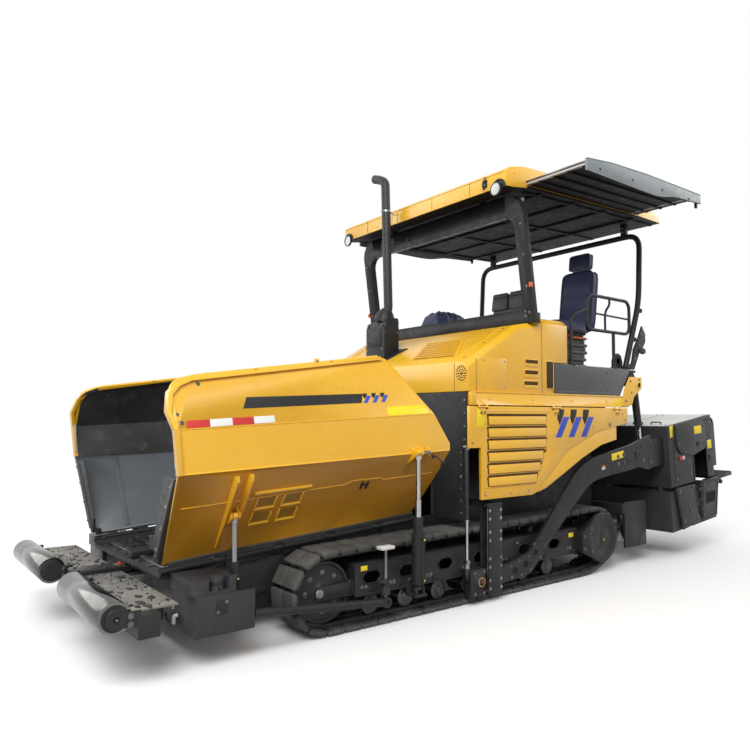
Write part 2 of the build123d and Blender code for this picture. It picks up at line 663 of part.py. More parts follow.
def seat(x, y, folded=False):
    """Seat with its backrest up, or folded down over the cushion."""
    side = (x - SEAT_W / 2, x + SEAT_W / 2)
    z = SEAT_Z
    cushion = box(side, (y, y + 520), (z, z + 120))
    if folded:
        hinge = box((x - 150, x + 150), (y + 440, y + 500), (z + 119, z + 141))
        return fused([cushion, hinge, box(side, (y - 20, y + 530), (z + 140, z + 260))])
    back = plate_x([(y + 506, z + 20), (y + 620, z + 20), (y + 700, z + 690), (y + 610, z + 690)], side)
    head = [(y + 618, z + 700), (y + 698, z + 700), (y + 712, z + 880), (y + 632, z + 880)]
    head = plate_x(head, (x - 140, x + 140))
    neck = [(y + 640, z + 680), (y + 670, z + 680), (y + 674, z + 710), (y + 644, z + 710)]
    neck = plate_x(neck, (x - 60, x + 60))
    return fused([cushion, back, neck, head])


node("seat_bases", seat_base(*NEAR_SEAT), seat_base(*FAR_SEAT))
node("seats", seat(*NEAR_SEAT), seat(*FAR_SEAT, folded=True))

RAIL_X = BODY_X - 30
RAIL_R = 17.0
GUARD_Y = (850.0, 1590.0)
GUARD_Z = (2440.0, 2790.0)


def handrail():
    """Side guard: a closed loop on a bent front leg and a straight rear leg, on the side box."""
    low, high = GUARD_Z

    def half(end, middle):
        return pipe([(RAIL_X, middle, high), (RAIL_X, end, high), (RAIL_X, end, low), (RAIL_X, middle, low)],
                    RAIL_R, 80)

    front = pipe([(RAIL_X, 600, PLATFORM_Z), (RAIL_X, 600, 2560), (RAIL_X, GUARD_Y[0] + 1, 2640)], RAIL_R, 70)
    rear = pipe([(RAIL_X, 1300, PLATFORM_Z), (RAIL_X, 1300, low)], RAIL_R, 70)
    return fused([half(GUARD_Y[1], 1200), half(GUARD_Y[0], 1201), front, rear])


node("handrails", both(handrail()))


# ---------------------------------------------------------------- canopy
ROOF_Y = (-400.0, 2095.0)
ROOF_X = BODY_X + 50
ROOF_T = 14.0
FASCIA_Y = -290.0             # rear end of the fascia's lower edge


def roof_z(y):
    """Height of the roof's lower face at y."""
    return 3643.0 + y * sin(radians(ROOF_SLOPE))


EXTENSION_Y = (-180.0, 1665.0)
EXTENSION_LIFT = (34.0, 60.0)     # lower and upper face of the sliding panel, above the roof's lower face
EXTENSION_W = 920.0
EXTENSION_CLEAR = 6.0
VALANCE_T = 20.0


def roof_outline(t):
    """Side outline of the roof, moved inwards by t."""
    line = [(ROOF_Y[0], 3602), (ROOF_Y[0], 3735), (-335, 3785), (-170, 3826), (60, 3842), (1850, 3838),
            (ROOF_Y[1], 3800), (ROOF_Y[1], roof_z(ROOF_Y[1])), (-110, roof_z(-110)),
            (FASCIA_Y, roof_z(-110) - 30), (ROOF_Y[0], 3602)]
    if not t:
        return line[:-1]
    moved = offset_line([line[-2]] + line + [line[1]], t)
    return moved[1:-2]


def roof():
    """Hollow roof with a deep front fascia, and a slot in each side for the sliding panels."""
    body = plate_x(roof_outline(0), (-ROOF_X, ROOF_X))
    body -= plate_x(roof_outline(ROOF_T), (-ROOF_X + ROOF_T, ROOF_X - ROOF_T))
    y0, y1 = EXTENSION_Y[0] + 60, EXTENSION_Y[1]
    low, high = EXTENSION_LIFT[0] - EXTENSION_CLEAR, EXTENSION_LIFT[1] + EXTENSION_CLEAR
    y1 += 10
    slot = [(y0, roof_z(y0) + low), (y1, roof_z(y1 - 10) + low), (y1, roof_z(y1 - 10) + high),
            (y0, roof_z(y0) + high)]
    return body - plate_x(slot, (-ROOF_X - 5, ROOF_X + 5))


node("canopy_roof", roof())

FRAME_X_OUT, FRAME_X_IN = BODY_X + 25, BODY_X - 90
FRAME_FOOT = (60.0, 2437.0)       # y, z of the lower rear edge
FRAME_TOP, FRAME_BAR = 1190.0, 200.0      # height of the front frame and depth of its top bar
FRAME_SILL = 125.0
FRAME_DEPTH = 70.0
FRAME_LEAN = 8.0                  # degrees, leaning forwards


def front_frame():
    """Front frame between hood and roof: one hoop with rounded upper corners, leaning forwards."""
    outer = Rectangle(2 * FRAME_X_OUT, FRAME_TOP, align=(Align.CENTER, Align.MIN))
    outer = fillet(outer.vertices().group_by(Axis.Y)[-1], 210)
    window_h = FRAME_TOP - FRAME_BAR - FRAME_SILL
    window = Rectangle(2 * FRAME_X_IN, window_h, align=(Align.CENTER, Align.MIN))
    window = fillet(window.vertices().group_by(Axis.Y)[-1], 130)
    window = fillet(window.vertices().group_by(Axis.Y)[0], 60)
    hoop = extrude(outer - Pos(0, FRAME_SILL) * window, amount=FRAME_DEPTH)
    return Pos(0, *FRAME_FOOT) * Rot(90 + FRAME_LEAN, 0, 0) * hoop


node("canopy_front_frame", front_frame())

BOW_X, BOW_Y, BOW_Z, BOW_R = BODY_X - 20, 1800.0, 3560.0, 30.0
BOW_FOOT_Y = 1490.0


def bow():
    """Rear bow of the canopy with its feet and the brackets under the roof."""
    side = [(BOW_X, BOW_FOOT_Y, PLATFORM_Z + 12), (BOW_X, BOW_Y - 40, 2800), (BOW_X, BOW_Y, BOW_Z)]
    tube = pipe(side + [(-x, y, z) for x, y, z in side[::-1]], BOW_R, 150)
    foot_y = (BOW_FOOT_Y - 50, BOW_FOOT_Y + 50)
    feet = both(box((BOW_X - 60, BOX_X[1]), foot_y, (PLATFORM_Z + 0.5, PLATFORM_Z + 14)))
    brackets = both(box((980, 1040), (BOW_Y - 30, BOW_Y + 30), (BOW_Z, roof_z(BOW_Y - 30) - 0.5)))
    return fused([tube] + feet + brackets)


node("canopy_rear_frame", bow())


def side_extension(x0):
    """Sliding panel of the canopy from x0 outwards, with a curved valance on its outer edge."""
    y0, y1 = EXTENSION_Y
    low, high = EXTENSION_LIFT
    x1 = x0 + EXTENSION_W
    ends = (y0 + 80, y1 - 6)
    outline = [(y, roof_z(y) + low) for y in ends] + [(y, roof_z(y) + high) for y in ends[::-1]]
    panel = plate_x(outline, (x0, x1 - VALANCE_T + 1))
    top = [(y0, 3696), (y0 + 350, 3736), (y0 + 900, 3762), (y1, 3773)]
    bottom = [(y1, 3680), (y1 - 500, 3650), (y1 - 720, 3600), (y1 - 900, 3590), (y0, 3592)]
    valance = plate_x(top + bottom, (x1 - VALANCE_T, x1))
    return panel + valance


node("canopy_extension_left", side_extension(ROOF_X - 210))
node("canopy_extension_right", mirrored(side_extension(ROOF_X + EXTENSION_CLEAR + VALANCE_T - EXTENSION_W)))
node("work_lamps", [bar((x, ROOF_Y[0] - 32, 3586), (x, ROOF_Y[0] - 1, 3586), 60, 24) for x in (-1175, 1175)])


STACK_R = 47.0


def exhaust():
    """Silencer housing on the hood's slope with the bent tail pipe."""
    def slope_z(y):
        return 2032 + (y + 790) * (2391 - 2032) / 600

    side = [(-620, slope_z(-620)), (-620, 2540), (-445, 2590), (-432, slope_z(-432))]
    housing = plate_x(side, (-520, -205))
    stack = pipe([(-270, -520, 2540), (-332, -520, 4035), (-520, -520, 4112)], STACK_R, 90)
    return stack + housing


node("exhaust", exhaust())

# ---------------------------------------------------------------- levelling and tow arms
LEV_X, LEV_Y = TRACK_X[1] + 48, -782.0
POST_IN_X = (TRACK_X[1] + 7, TRACK_X[1] + 21)
POST_OUT_X = (BODY_X - 20, BODY_X)
POST_Y = (-590.0, -413.0)


def guide_post():
    """Slot between two plates for the tow arm, tied to the chassis by a head."""
    outer = box(POST_OUT_X, (-575, POST_Y[1]), (70, 800))
    inner = box(POST_IN_X, POST_Y, (70, 800))
    head = box((CHASSIS_X[1], POST_OUT_X[1]), POST_Y, (799, 830))
    return fused([outer, inner, head])


node("guide_posts", both(guide_post()))
LEV_ROD_R = 12.0
lev_barrel = rod((LEV_X, LEV_Y, 700), (LEV_X, LEV_Y, 1290), 17, LEV_ROD_R + 1)
lev_barrel += rod((LEV_X, LEV_Y, 1285), (LEV_X, LEV_Y, 1325), 17)
lev_barrel += box((BODY_X - 82, LEV_X), (LEV_Y - 10, LEV_Y + 10), (1295, 1320))
node("levelling_barrels", both(lev_barrel))


def carriage():
    """Tow point: fork around the arm's eye with its pin, hanging on the levelling rod."""
    y, z = TOW_PIN
    x0, x1 = TRACK_X[1] + 6, TRACK_X[1] + 86
    cheeks = [box(x, (y - 96, y + 54), (z - 118, z + 108)) for x in ((x0, x0 + 16), (x1 - 16, x1))]
    bridge = box((x0, x1), (y - 118, y - 90), (z - 118, z + 108))
    lug = rod((LEV_X, LEV_Y, z + 30), (LEV_X, LEV_Y, z + 118), 22)
    stem = rod((LEV_X, LEV_Y, z + 100), (LEV_X, LEV_Y, 970), LEV_ROD_R)
    pin = rod((x0 + 1, y, z), (x1 + 9, y, z), TOW_PIN_R)
    return fused(cheeks + [bridge, lug, stem, pin])


node("tow_carriages", both(carriage()))


def tilted(solid):
    """The solid turned about the tow pin into its raised place."""
    return Pos(0, *TOW_PIN) * Rot(SCREED_TILT, 0, 0) * Pos(0, -TOW_PIN[0], -TOW_PIN[1]) * solid


ARM_OUTLINE = [(-654, 258), (-284, 250), (-72, 280), (2, 297), (267, 509), (550, 753), (751, 904), (878, 965),
               (1041, 1002), (1338, 1023), (1683, 1048), (1990, 1099), (2066, 1108), (2066, 760), (1986, 746),
               (1804, 801), (1620, 793), (1328, 791), (1068, 781), (940, 753), (847, 704), (663, 588),
               (466, 450),
               (278, 326), (61, 156), (-19, 107), (-248, 101), (-654, 118)]
SCREED_FRONT = 2310.0


def tow_arm():
    """Cranked arm from the tow point up over the track to the screed, with the lug of its lift cylinder."""
    y, z = TOW_PIN
    arm = plate_x(ARM_OUTLINE, ARM_X) + rod((ARM_X[0], y, z), (ARM_X[1], y, z), 70)
    arm -= rod((ARM_X[0] - 5, y, z), (ARM_X[1] + 5, y, z), TOW_PIN_R + PLAY)
    arm += box(ARM_X, (2060, SCREED_FRONT), (760, 1060))
    boss = rod((LIFT_X + LIFT_R + LIFT_CLEAR, *LIFT_EYE), (ARM_X[0] + 1, *LIFT_EYE), LIFT_BOSS_R)
    return tilted(arm) + boss


node("tow_arms", both(tow_arm()))


def lift_cylinder():
    """Barrel and rod of a screed lift cylinder."""
    (y0, z0), (y1, z1) = LIFT_PIVOT, LIFT_EYE
    length = hypot(y1 - y0, z1 - z0)
    half = LIFT_GAP - 6

    def at(distance):
        return LIFT_X, y0 + (y1 - y0) * distance / length, z0 + (z1 - z0) * distance / length

    barrel = rod(at(38), at(LIFT_BARREL), LIFT_R) - rod(at(60), at(LIFT_BARREL + 1), LIFT_ROD_R + 1)
    barrel += rod(at(12), at(40), LIFT_ROD_R - 2)
    barrel += rod((LIFT_X - half, y0, z0), (LIFT_X + half, y0, z0), CYLINDER_EYE_R)
    barrel -= rod((LIFT_X - 40, y0, z0), (LIFT_X + 40, y0, z0), CYLINDER_PIN_R + PLAY)
    stem = rod(at(90), at(length - 8), LIFT_ROD_R)
    stem += rod((LIFT_X - half, y1, z1), (LIFT_X + half, y1, z1), CYLINDER_EYE_R)
    return barrel, stem


barrel, stem = lift_cylinder()
node("lift_barrels", both(barrel))
node("lift_rods", both(stem))

# ---------------------------------------------------------------- screed, modelled level and then tilted
SCREED_X = BODY_X + 30
BASE_Y = (SCREED_FRONT, 2700.0)
EXT_Y = (2720.0, 3270.0)
EXT_X = (20.0, SCREED_X - 10)
EXT_TOP = 425.0
HOUSING_Z = 495.0
SIDE_OUTLINE = [(SCREED_FRONT, 1180), (3273, 1226), (3273, HOUSING_Z), (SCREED_FRONT, HOUSING_Z)]
GATE_T = 14.0


def screed_main():
    """Base screed: sole plate under a box beam, with carriers for the housing."""
    body = box((20 - SCREED_X, SCREED_X - 20), BASE_Y, (20, 450))
    body += box((15 - SCREED_X, SCREED_X - 15), (BASE_Y[0] - 14, BASE_Y[1]), (0, 21))
    carriers = [box((x - 20, x + 20), BASE_Y, (449, HOUSING_Z)) for x in (-1100, -400, 400, 1100)]
    return tilted(fused([body] + carriers))


def screed_housing():
    """Upper housing of the screed with its arched side plates and deck."""
    shell = plate_x(SIDE_OUTLINE, (-SCREED_X, SCREED_X))
    shell -= box((-SCREED_X + 12, SCREED_X - 12), (SCREED_FRONT + 12, 3261), (HOUSING_Z - 5, 1168))
    arch = [(2819, 936), (2977, 1004), (3119, 933), (3119, HOUSING_Z - 5), (2819, HOUSING_Z - 5)]
    shell -= plate_x(arch, (-SCREED_X - 5, SCREED_X + 5))
    shell += box((-SCREED_X, SCREED_X), (3272, 3345), (610, 1127))
    return tilted(shell)


node("screed_main", screed_main())
node("screed_housing", screed_housing())


def screed_extension():
    """Sliding extension with its end gate, walkway and brackets."""
    x0, x1 = EXT_X
    body = box(EXT_X, EXT_Y, (20, EXT_TOP)) + box((x0, x1), (EXT_Y[0] - 6, EXT_Y[1]), (0, 21))
    gate_front = plate_x([(2372, 484), (2774, 472), (2859, 40), (2463, 7)],
                         (SCREED_X + 6, SCREED_X + 6 + GATE_T))
    gate_rear = plate_x([(2944, 478), (3330, 473), (3231, 35), (2889, 29)],
                        (x1 - 1, SCREED_X + 6 + GATE_T))
    link = box((SCREED_X + 6, SCREED_X + 6 + GATE_T), (2700, 3000), (200, 300))
    walkway = box((x0, x1), (3362, 3719), (436, 480))
    brackets = [box((x - 8, x + 8), (EXT_Y[1] - 1, 3700), (330, 437)) for x in (140, 620, 1100)]
    return tilted(fused([body, gate_rear, link, gate_front, walkway] + brackets))


node("screed_extension_left", screed_extension())
node("screed_extension_right", mirrored(nodes["screed_extension_left"][0]))

AUGER_AXIS = (1900.0, 340.0)
AUGER_R = 160.0
AUGER_CORE_R = 38.0
AUGER_X = (90.0, 1060.0)


def auger():
    """Spreading auger with its flight as a row of discs."""
    core = rod((AUGER_X[0], *AUGER_AXIS), (AUGER_X[1], *AUGER_AXIS), AUGER_CORE_R)
    flights = [bar((x, *AUGER_AXIS), (x + 14, *AUGER_AXIS), AUGER_R, 20) for x in range(180, 1040, 160)]
    return fused([core] + flights)


node("auger_left", auger())
node("auger_right", mirrored(nodes["auger_left"][0]))


def auger_mount():
    """Middle chain case, cross beam and end plates of the augers."""
    case = box((-60, 60), (CHASSIS_Y[1], 1980), (260, 520))
    beam = box((-1090, 1090), (1560, 1640), (540, 640))
    tie = box((-60, 60), (CHASSIS_Y[1], 1640), (519, 560))
    ends = both(box((1068, 1090), (1600, 2000), (180, 660)))
    return fused([case, beam, tie] + ends)


node("auger_mount", auger_mount())

# ---------------------------------------------------------------- export
place = Location((-ORIGIN_SHIFT[0], -ORIGIN_SHIFT[1], 0))
os.makedirs("parts", exist_ok=True)
for name, solids in nodes.items():
    moved = [s.moved(place) for s in solids]
    shape = moved[0] if len(moved) == 1 else Compound(children=moved)
    export_step(shape, f"parts/{name}.step")
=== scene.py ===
"""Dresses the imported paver: camera, light, materials and the small pieces that ride on its bodies."""
import json
import math
import random

import bmesh
import bpy
from mathutils import Matrix, Vector


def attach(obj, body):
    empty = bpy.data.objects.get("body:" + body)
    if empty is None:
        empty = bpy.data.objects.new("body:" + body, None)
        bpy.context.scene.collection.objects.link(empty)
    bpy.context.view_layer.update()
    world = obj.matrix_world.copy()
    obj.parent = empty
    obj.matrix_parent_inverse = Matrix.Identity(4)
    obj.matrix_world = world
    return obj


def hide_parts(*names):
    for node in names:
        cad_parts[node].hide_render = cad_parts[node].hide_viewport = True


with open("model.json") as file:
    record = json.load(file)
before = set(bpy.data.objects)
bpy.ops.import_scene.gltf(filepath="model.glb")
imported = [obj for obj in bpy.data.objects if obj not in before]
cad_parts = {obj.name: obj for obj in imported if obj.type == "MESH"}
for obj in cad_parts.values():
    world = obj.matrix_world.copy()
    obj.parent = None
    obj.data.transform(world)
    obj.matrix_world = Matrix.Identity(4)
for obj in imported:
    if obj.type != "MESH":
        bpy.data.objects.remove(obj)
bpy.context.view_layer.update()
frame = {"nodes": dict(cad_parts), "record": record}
NODES = frame["nodes"]
SHIFT = Vector((-0.341, -0.003549, 0.0))    # from the machine's middle plane to the row frame


def at(x, y, z):
    """A point given in millimetres about the machine's middle plane, in metres in the row frame."""
    return Vector((x, y, z)) / 1000 + SHIFT


# ---------------------------------------------------------------- materials
def new_material(name):
    mat = bpy.data.materials.new(name)
    mat.use_nodes = True
    tree = mat.node_tree
    tree.nodes.clear()
    out = tree.nodes.new("ShaderNodeOutputMaterial")
    shader = tree.nodes.new("ShaderNodeBsdfPrincipled")
    tree.links.new(shader.outputs["BSDF"], out.inputs["Surface"])
    return mat, tree, shader


def noise(tree, scale, detail=4.0, rough=0.55, stretch=None):
    """Noise in object coordinates, which are metres in the row frame."""
    coord = tree.nodes.new("ShaderNodeTexCoord")
    tex = tree.nodes.new("ShaderNodeTexNoise")
    tex.inputs["Scale"].default_value = scale
    tex.inputs["Detail"].default_value = detail
    tex.inputs["Roughness"].default_value = rough
    if stretch:
        mapping = tree.nodes.new("ShaderNodeMapping")
        mapping.inputs["Scale"].default_value = stretch
        tree.links.new(coord.outputs["Object"], mapping.inputs["Vector"])
        tree.links.new(mapping.outputs["Vector"], tex.inputs["Vector"])
    else:
        tree.links.new(coord.outputs["Object"], tex.inputs["Vector"])
    return tex.outputs["Fac"]


def ramp(tree, fac, stops):
    node = tree.nodes.new("ShaderNodeValToRGB")
    while len(node.color_ramp.elements) < len(stops):
        node.color_ramp.elements.new(0.5)
    for element, (pos, value) in zip(node.color_ramp.elements, stops):
        element.position = pos
        element.color = (value, value, value, 1) if isinstance(value, float) else (*value, 1)
    tree.links.new(fac, node.inputs["Fac"])
    return node.outputs["Color"]


def mixed(tree, fac, a, b):
    node = tree.nodes.new("ShaderNodeMix")
    node.data_type = "RGBA"
    for socket, value in ((node.inputs[6], a), (node.inputs[7], b)):
        if isinstance(value, tuple):
            socket.default_value = (*value, 1)
        else:
            tree.links.new(value, socket)
    if isinstance(fac, float):
        node.inputs[0].default_value = fac
    else:
        tree.links.new(fac, node.inputs[0])
    return node.outputs[2]


def bump(tree, shader, height, strength, distance):
    node = tree.nodes.new("ShaderNodeBump")
    node.inputs["Strength"].default_value = strength
    node.inputs["Distance"].default_value = distance
    tree.links.new(height, node.inputs["Height"])
    tree.links.new(node.outputs["Normal"], shader.inputs["Normal"])


def paint(name, color, dark, rough=(0.28, 0.42), dust=0.18, dust_color=(0.55, 0.50, 0.42), peel=0.15,
          coat=0.0, gloss=0.5):
    """Sprayed paint with orange peel, broad tone changes, settled dust and a clear coat."""
    mat, tree, shader = new_material(name)
    broad = ramp(tree, noise(tree, 1.7, 5), [(0.3, 0.0), (0.7, 1.0)])
    base = mixed(tree, broad, dark, color)
    fine = ramp(tree, noise(tree, 9.0, 8, 0.65), [(0.52, 0.0), (0.75, dust)])
    base = mixed(tree, fine, base, dust_color)
    tree.links.new(base, shader.inputs["Base Color"])
    tree.links.new(ramp(tree, noise(tree, 14.0, 6), [(0.3, rough[0]), (0.7, rough[1])]),
                   shader.inputs["Roughness"])
    shader.inputs["Specular IOR Level"].default_value = gloss
    shader.inputs["Coat Weight"].default_value = coat
    shader.inputs["Coat Roughness"].default_value = 0.25
    bump(tree, shader, noise(tree, 420.0, 2), peel, 0.0006)
    return mat


def metal(name, color, dark, rough=(0.22, 0.45), scratches=0.25, stretch=(1, 30, 30)):
    """Bare steel with drawn scratches and stains."""
    mat, tree, shader = new_material(name)
    stain = ramp(tree, noise(tree, 6.0, 7, 0.6), [(0.35, 0.0), (0.68, 1.0)])
    tree.links.new(mixed(tree, stain, dark, color), shader.inputs["Base Color"])
    tree.links.new(ramp(tree, noise(tree, 11.0, 6), [(0.3, rough[0]), (0.7, rough[1])]),
                   shader.inputs["Roughness"])
    shader.inputs["Metallic"].default_value = 1.0
    bump(tree, shader, noise(tree, 30.0, 6, 0.6, stretch), scratches, 0.0008)
    return mat


YELLOW = paint("yellow_paint", (0.84, 0.470, 0.022), (0.77, 0.410, 0.014), (0.24, 0.36), 0.06, coat=0.35)
DARK = paint("dark_grey_paint", (0.04, 0.042, 0.044), (0.027, 0.028, 0.03), (0.35, 0.55), 0.1,
             (0.13, 0.13, 0.125), gloss=0.25)
BLACK = paint("black_paint", (0.022, 0.023, 0.024), (0.014, 0.014, 0.015), (0.35, 0.6), 0.1,
              (0.1, 0.095, 0.088), gloss=0.25)
TRACK = paint("track_shoes", (0.03, 0.03, 0.031), (0.015, 0.015, 0.016), (0.55, 0.85), 0.55,
              (0.14, 0.13, 0.12), peel=0.6)
STEEL = metal("worn_steel", (0.36, 0.35, 0.33), (0.13, 0.125, 0.12))
CHROME = metal("chrome_rod", (0.44, 0.43, 0.41), (0.32, 0.315, 0.30), (0.10, 0.22), 0.05)
GREY = paint("light_grey_paint", (0.36, 0.37, 0.38), (0.28, 0.29, 0.30), (0.4, 0.6), 0.15)
VINYL = paint("seat_vinyl", (0.018, 0.03, 0.085), (0.012, 0.018, 0.055), (0.45, 0.65), 0.05,
              (0.05, 0.06, 0.1), peel=0.5)
EXHAUST = metal("exhaust_steel", (0.10, 0.10, 0.105), (0.035, 0.035, 0.038), (0.35, 0.6))
BOLT = metal("bolt_steel", (0.20, 0.195, 0.19), (0.07, 0.07, 0.07), (0.3, 0.5))
RUBBER = paint("track_rubber_pads", (0.1, 0.099, 0.092), (0.03, 0.03, 0.029), (0.7, 0.92), 0.6,
               (0.16, 0.155, 0.14), peel=0.8)
INNER = paint("hopper_inside", (0.05, 0.05, 0.052), (0.018, 0.018, 0.018), (0.35, 0.7), 0.35,
              (0.15, 0.145, 0.14), peel=0.5)
SLATE = paint("slate_blue_paint", (0.075, 0.088, 0.1), (0.055, 0.064, 0.074), (0.3, 0.45), 0.12,
              (0.15, 0.16, 0.17))
CHARCOAL = paint("charcoal_paint", (0.07, 0.078, 0.076), (0.052, 0.058, 0.057), (0.3, 0.45), 0.12,
                 (0.15, 0.16, 0.16))
DUSTY = paint("dusty_steel", (0.19, 0.18, 0.155), (0.06, 0.058, 0.054), (0.6, 0.85), 0.75,
              (0.3, 0.28, 0.24), 0.7)
PANEL = paint("panel_grey", (0.21, 0.24, 0.255), (0.17, 0.195, 0.205), (0.35, 0.5), 0.12)
TREAD = paint("pale_tread_plate", (0.60, 0.60, 0.58), (0.48, 0.48, 0.46), (0.4, 0.6), 0.15)
TAR = paint("asphalt_residue", (0.012, 0.012, 0.012), (0.005, 0.005, 0.005), (0.45, 0.75), 0.2,
            (0.05, 0.05, 0.05), 1.0)
WORN = metal("bare_plate", (0.50, 0.49, 0.47), (0.055, 0.05, 0.045), (0.25, 0.55), 0.35)
POLISHED = metal("roller_steel", (0.15, 0.148, 0.142), (0.11, 0.108, 0.104), (0.12, 0.24), 0.02, (1, 60, 60))
BRASS = metal("brass", (0.62, 0.42, 0.13), (0.40, 0.26, 0.07), (0.25, 0.4))
CREAM = paint("cream_paint", (0.60, 0.58, 0.52), (0.50, 0.48, 0.43), dust=0.08)
WHITE = paint("white_paint", (0.74, 0.74, 0.72), (0.64, 0.64, 0.62), dust=0.06)
SIGN = paint("blank_yellow_sign", (0.92, 0.70, 0.005), (0.86, 0.63, 0.004), (0.25, 0.4), 0.03)
ORANGE = paint("orange_paint", (0.85, 0.14, 0.01), (0.72, 0.11, 0.008), dust=0.03)
RED = paint("red_paint", (0.55, 0.025, 0.02), (0.42, 0.018, 0.015), dust=0.05)
BLUE = paint("blue_paint", (0.017, 0.070, 0.55), (0.014, 0.055, 0.44), dust=0.03)
PLASTIC = paint("moulded_plastic", (0.028, 0.029, 0.031), (0.018, 0.019, 0.02), (0.5, 0.65), 0.08,
                (0.1, 0.1, 0.1), peel=0.45)
SHADE = paint("louvre_shadow", (0.085, 0.045, 0.008), (0.055, 0.030, 0.006), (0.6, 0.8), 0.08, gloss=0.2)
# yellow darkened and browned as painted shade, for the down-facing outer face of the wing's lower panel
YELLOW_IN_SHADE = paint("yellow_in_painted_shade", (0.66, 0.315, 0.016), (0.56, 0.255, 0.012), (0.30, 0.42), 0.08)
# darker yellow as painted shade, for the floors of the wing's pockets
POCKET_SHADE = paint("shaded_yellow", (0.36, 0.19, 0.012), (0.28, 0.14, 0.010), dust=0.08)
GRILLE = paint("grille_black", (0.01, 0.01, 0.01), (0.006, 0.006, 0.006), (0.6, 0.8), 0.08,
               (0.06, 0.06, 0.06), gloss=0.15)


def lens(name, color, glow):
    """Ribbed lamp glass over a bright reflector."""
    mat, tree, shader = new_material(name)
    shader.inputs["Roughness"].default_value = 0.12
    shader.inputs["Coat Weight"].default_value = 0.8
    tone = ramp(tree, noise(tree, 60.0, 3), [(0.3, 0.85), (0.7, 1.0)])
    tree.links.new(mixed(tree, tone, (0, 0, 0), color), shader.inputs["Base Color"])
    shader.inputs["Emission Color"].default_value = (*color, 1)
    shader.inputs["Emission Strength"].default_value = glow
    bump(tree, shader, noise(tree, 55.0, 1, 0.4, (8, 1, 1)), 0.5, 0.001)
    return mat


LENS = lens("lamp_glass", (0.46, 0.47, 0.48), 0.01)

SLOTS = {
    "yellow_paint": YELLOW, "dark_grey_paint": DARK, "black_paint": BLACK, "worn_steel": STEEL,
    "track_rubber": TRACK, "light_grey_paint": GREY, "chrome_rod": CHROME, "seat_vinyl": VINYL,
    "exhaust_steel": EXHAUST,
}
SUBPARTS = {sub["node"]: sub for sub in frame["record"]["subparts"]}
BODY_OF = {node: body for body, nodes in frame["record"]["behaviour"]["bodies"].items() for node in nodes}
for sub in SUBPARTS.values():
    obj = NODES[sub["node"]]
    obj.data.materials.clear()
    obj.data.materials.append(SLOTS[sub["material_slot"]])


# ---------------------------------------------------------------- mesh kit
OUT, UP, REAR, FRONT = Vector((1, 0, 0)), Vector((0, 0, 1)), Vector((0, 1, 0)), Vector((0, -1, 0))
SIDES = (-1, 1)
SCREW = [(0, 8), (2, 8), (3, 5)]      # profile of a round screw head
SHARP = math.radians(38)            # steeper corners than this are shaded as edges
BEND_STEPS = 6


def turn(degrees, axis="X"):
    return Matrix.Rotation(math.radians(degrees), 4, axis)


def ring(r, count, start=0.0):
    """Equal steps round a circle, as (cosine, sine) times its radius."""
    steps = [2 * math.pi * (k + start) / count for k in range(count)]
    return [(r * math.cos(a), r * math.sin(a)) for a in steps]


def placed(name, mesh, mats, body):
    """The mesh as an object of the scene that rides on a body."""
    for mat in mats:
        mesh.materials.append(mat)
    mesh.set_sharp_from_angle(angle=SHARP)
    obj = bpy.data.objects.new(name, mesh)
    bpy.context.scene.collection.objects.link(obj)
    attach(obj, body)
    return obj


def side_on(x, *spots):
    """Points in a plane square to X, from their (y, z)."""
    return [(x, y, z) for y, z in spots]


def closed(points):
    """The points with the first one again at the end."""
    return [*points, points[0]]


def unit_pair(along):
    """Two unit vectors square to a direction and to each other."""
    u = along.orthogonal().normalized()
    return u, along.cross(u).normalized()


def rounded(points, bend):
    """The points as a path with each corner drawn as a short curve."""
    path = [Vector(points[0])]
    for before, corner, after in zip(points, points[1:], points[2:]):
        corner = Vector(corner)
        a, b = Vector(before) - corner, Vector(after) - corner
        reach = min(bend, a.length * 0.48, b.length * 0.48)
        a, b = corner + a.normalized() * reach, corner + b.normalized() * reach
        for i in range(BEND_STEPS + 1):
            t = i / BEND_STEPS
            path.append(a * (1 - t) ** 2 + corner * 2 * t * (1 - t) + b * t * t)
    return path + [Vector(points[-1])]


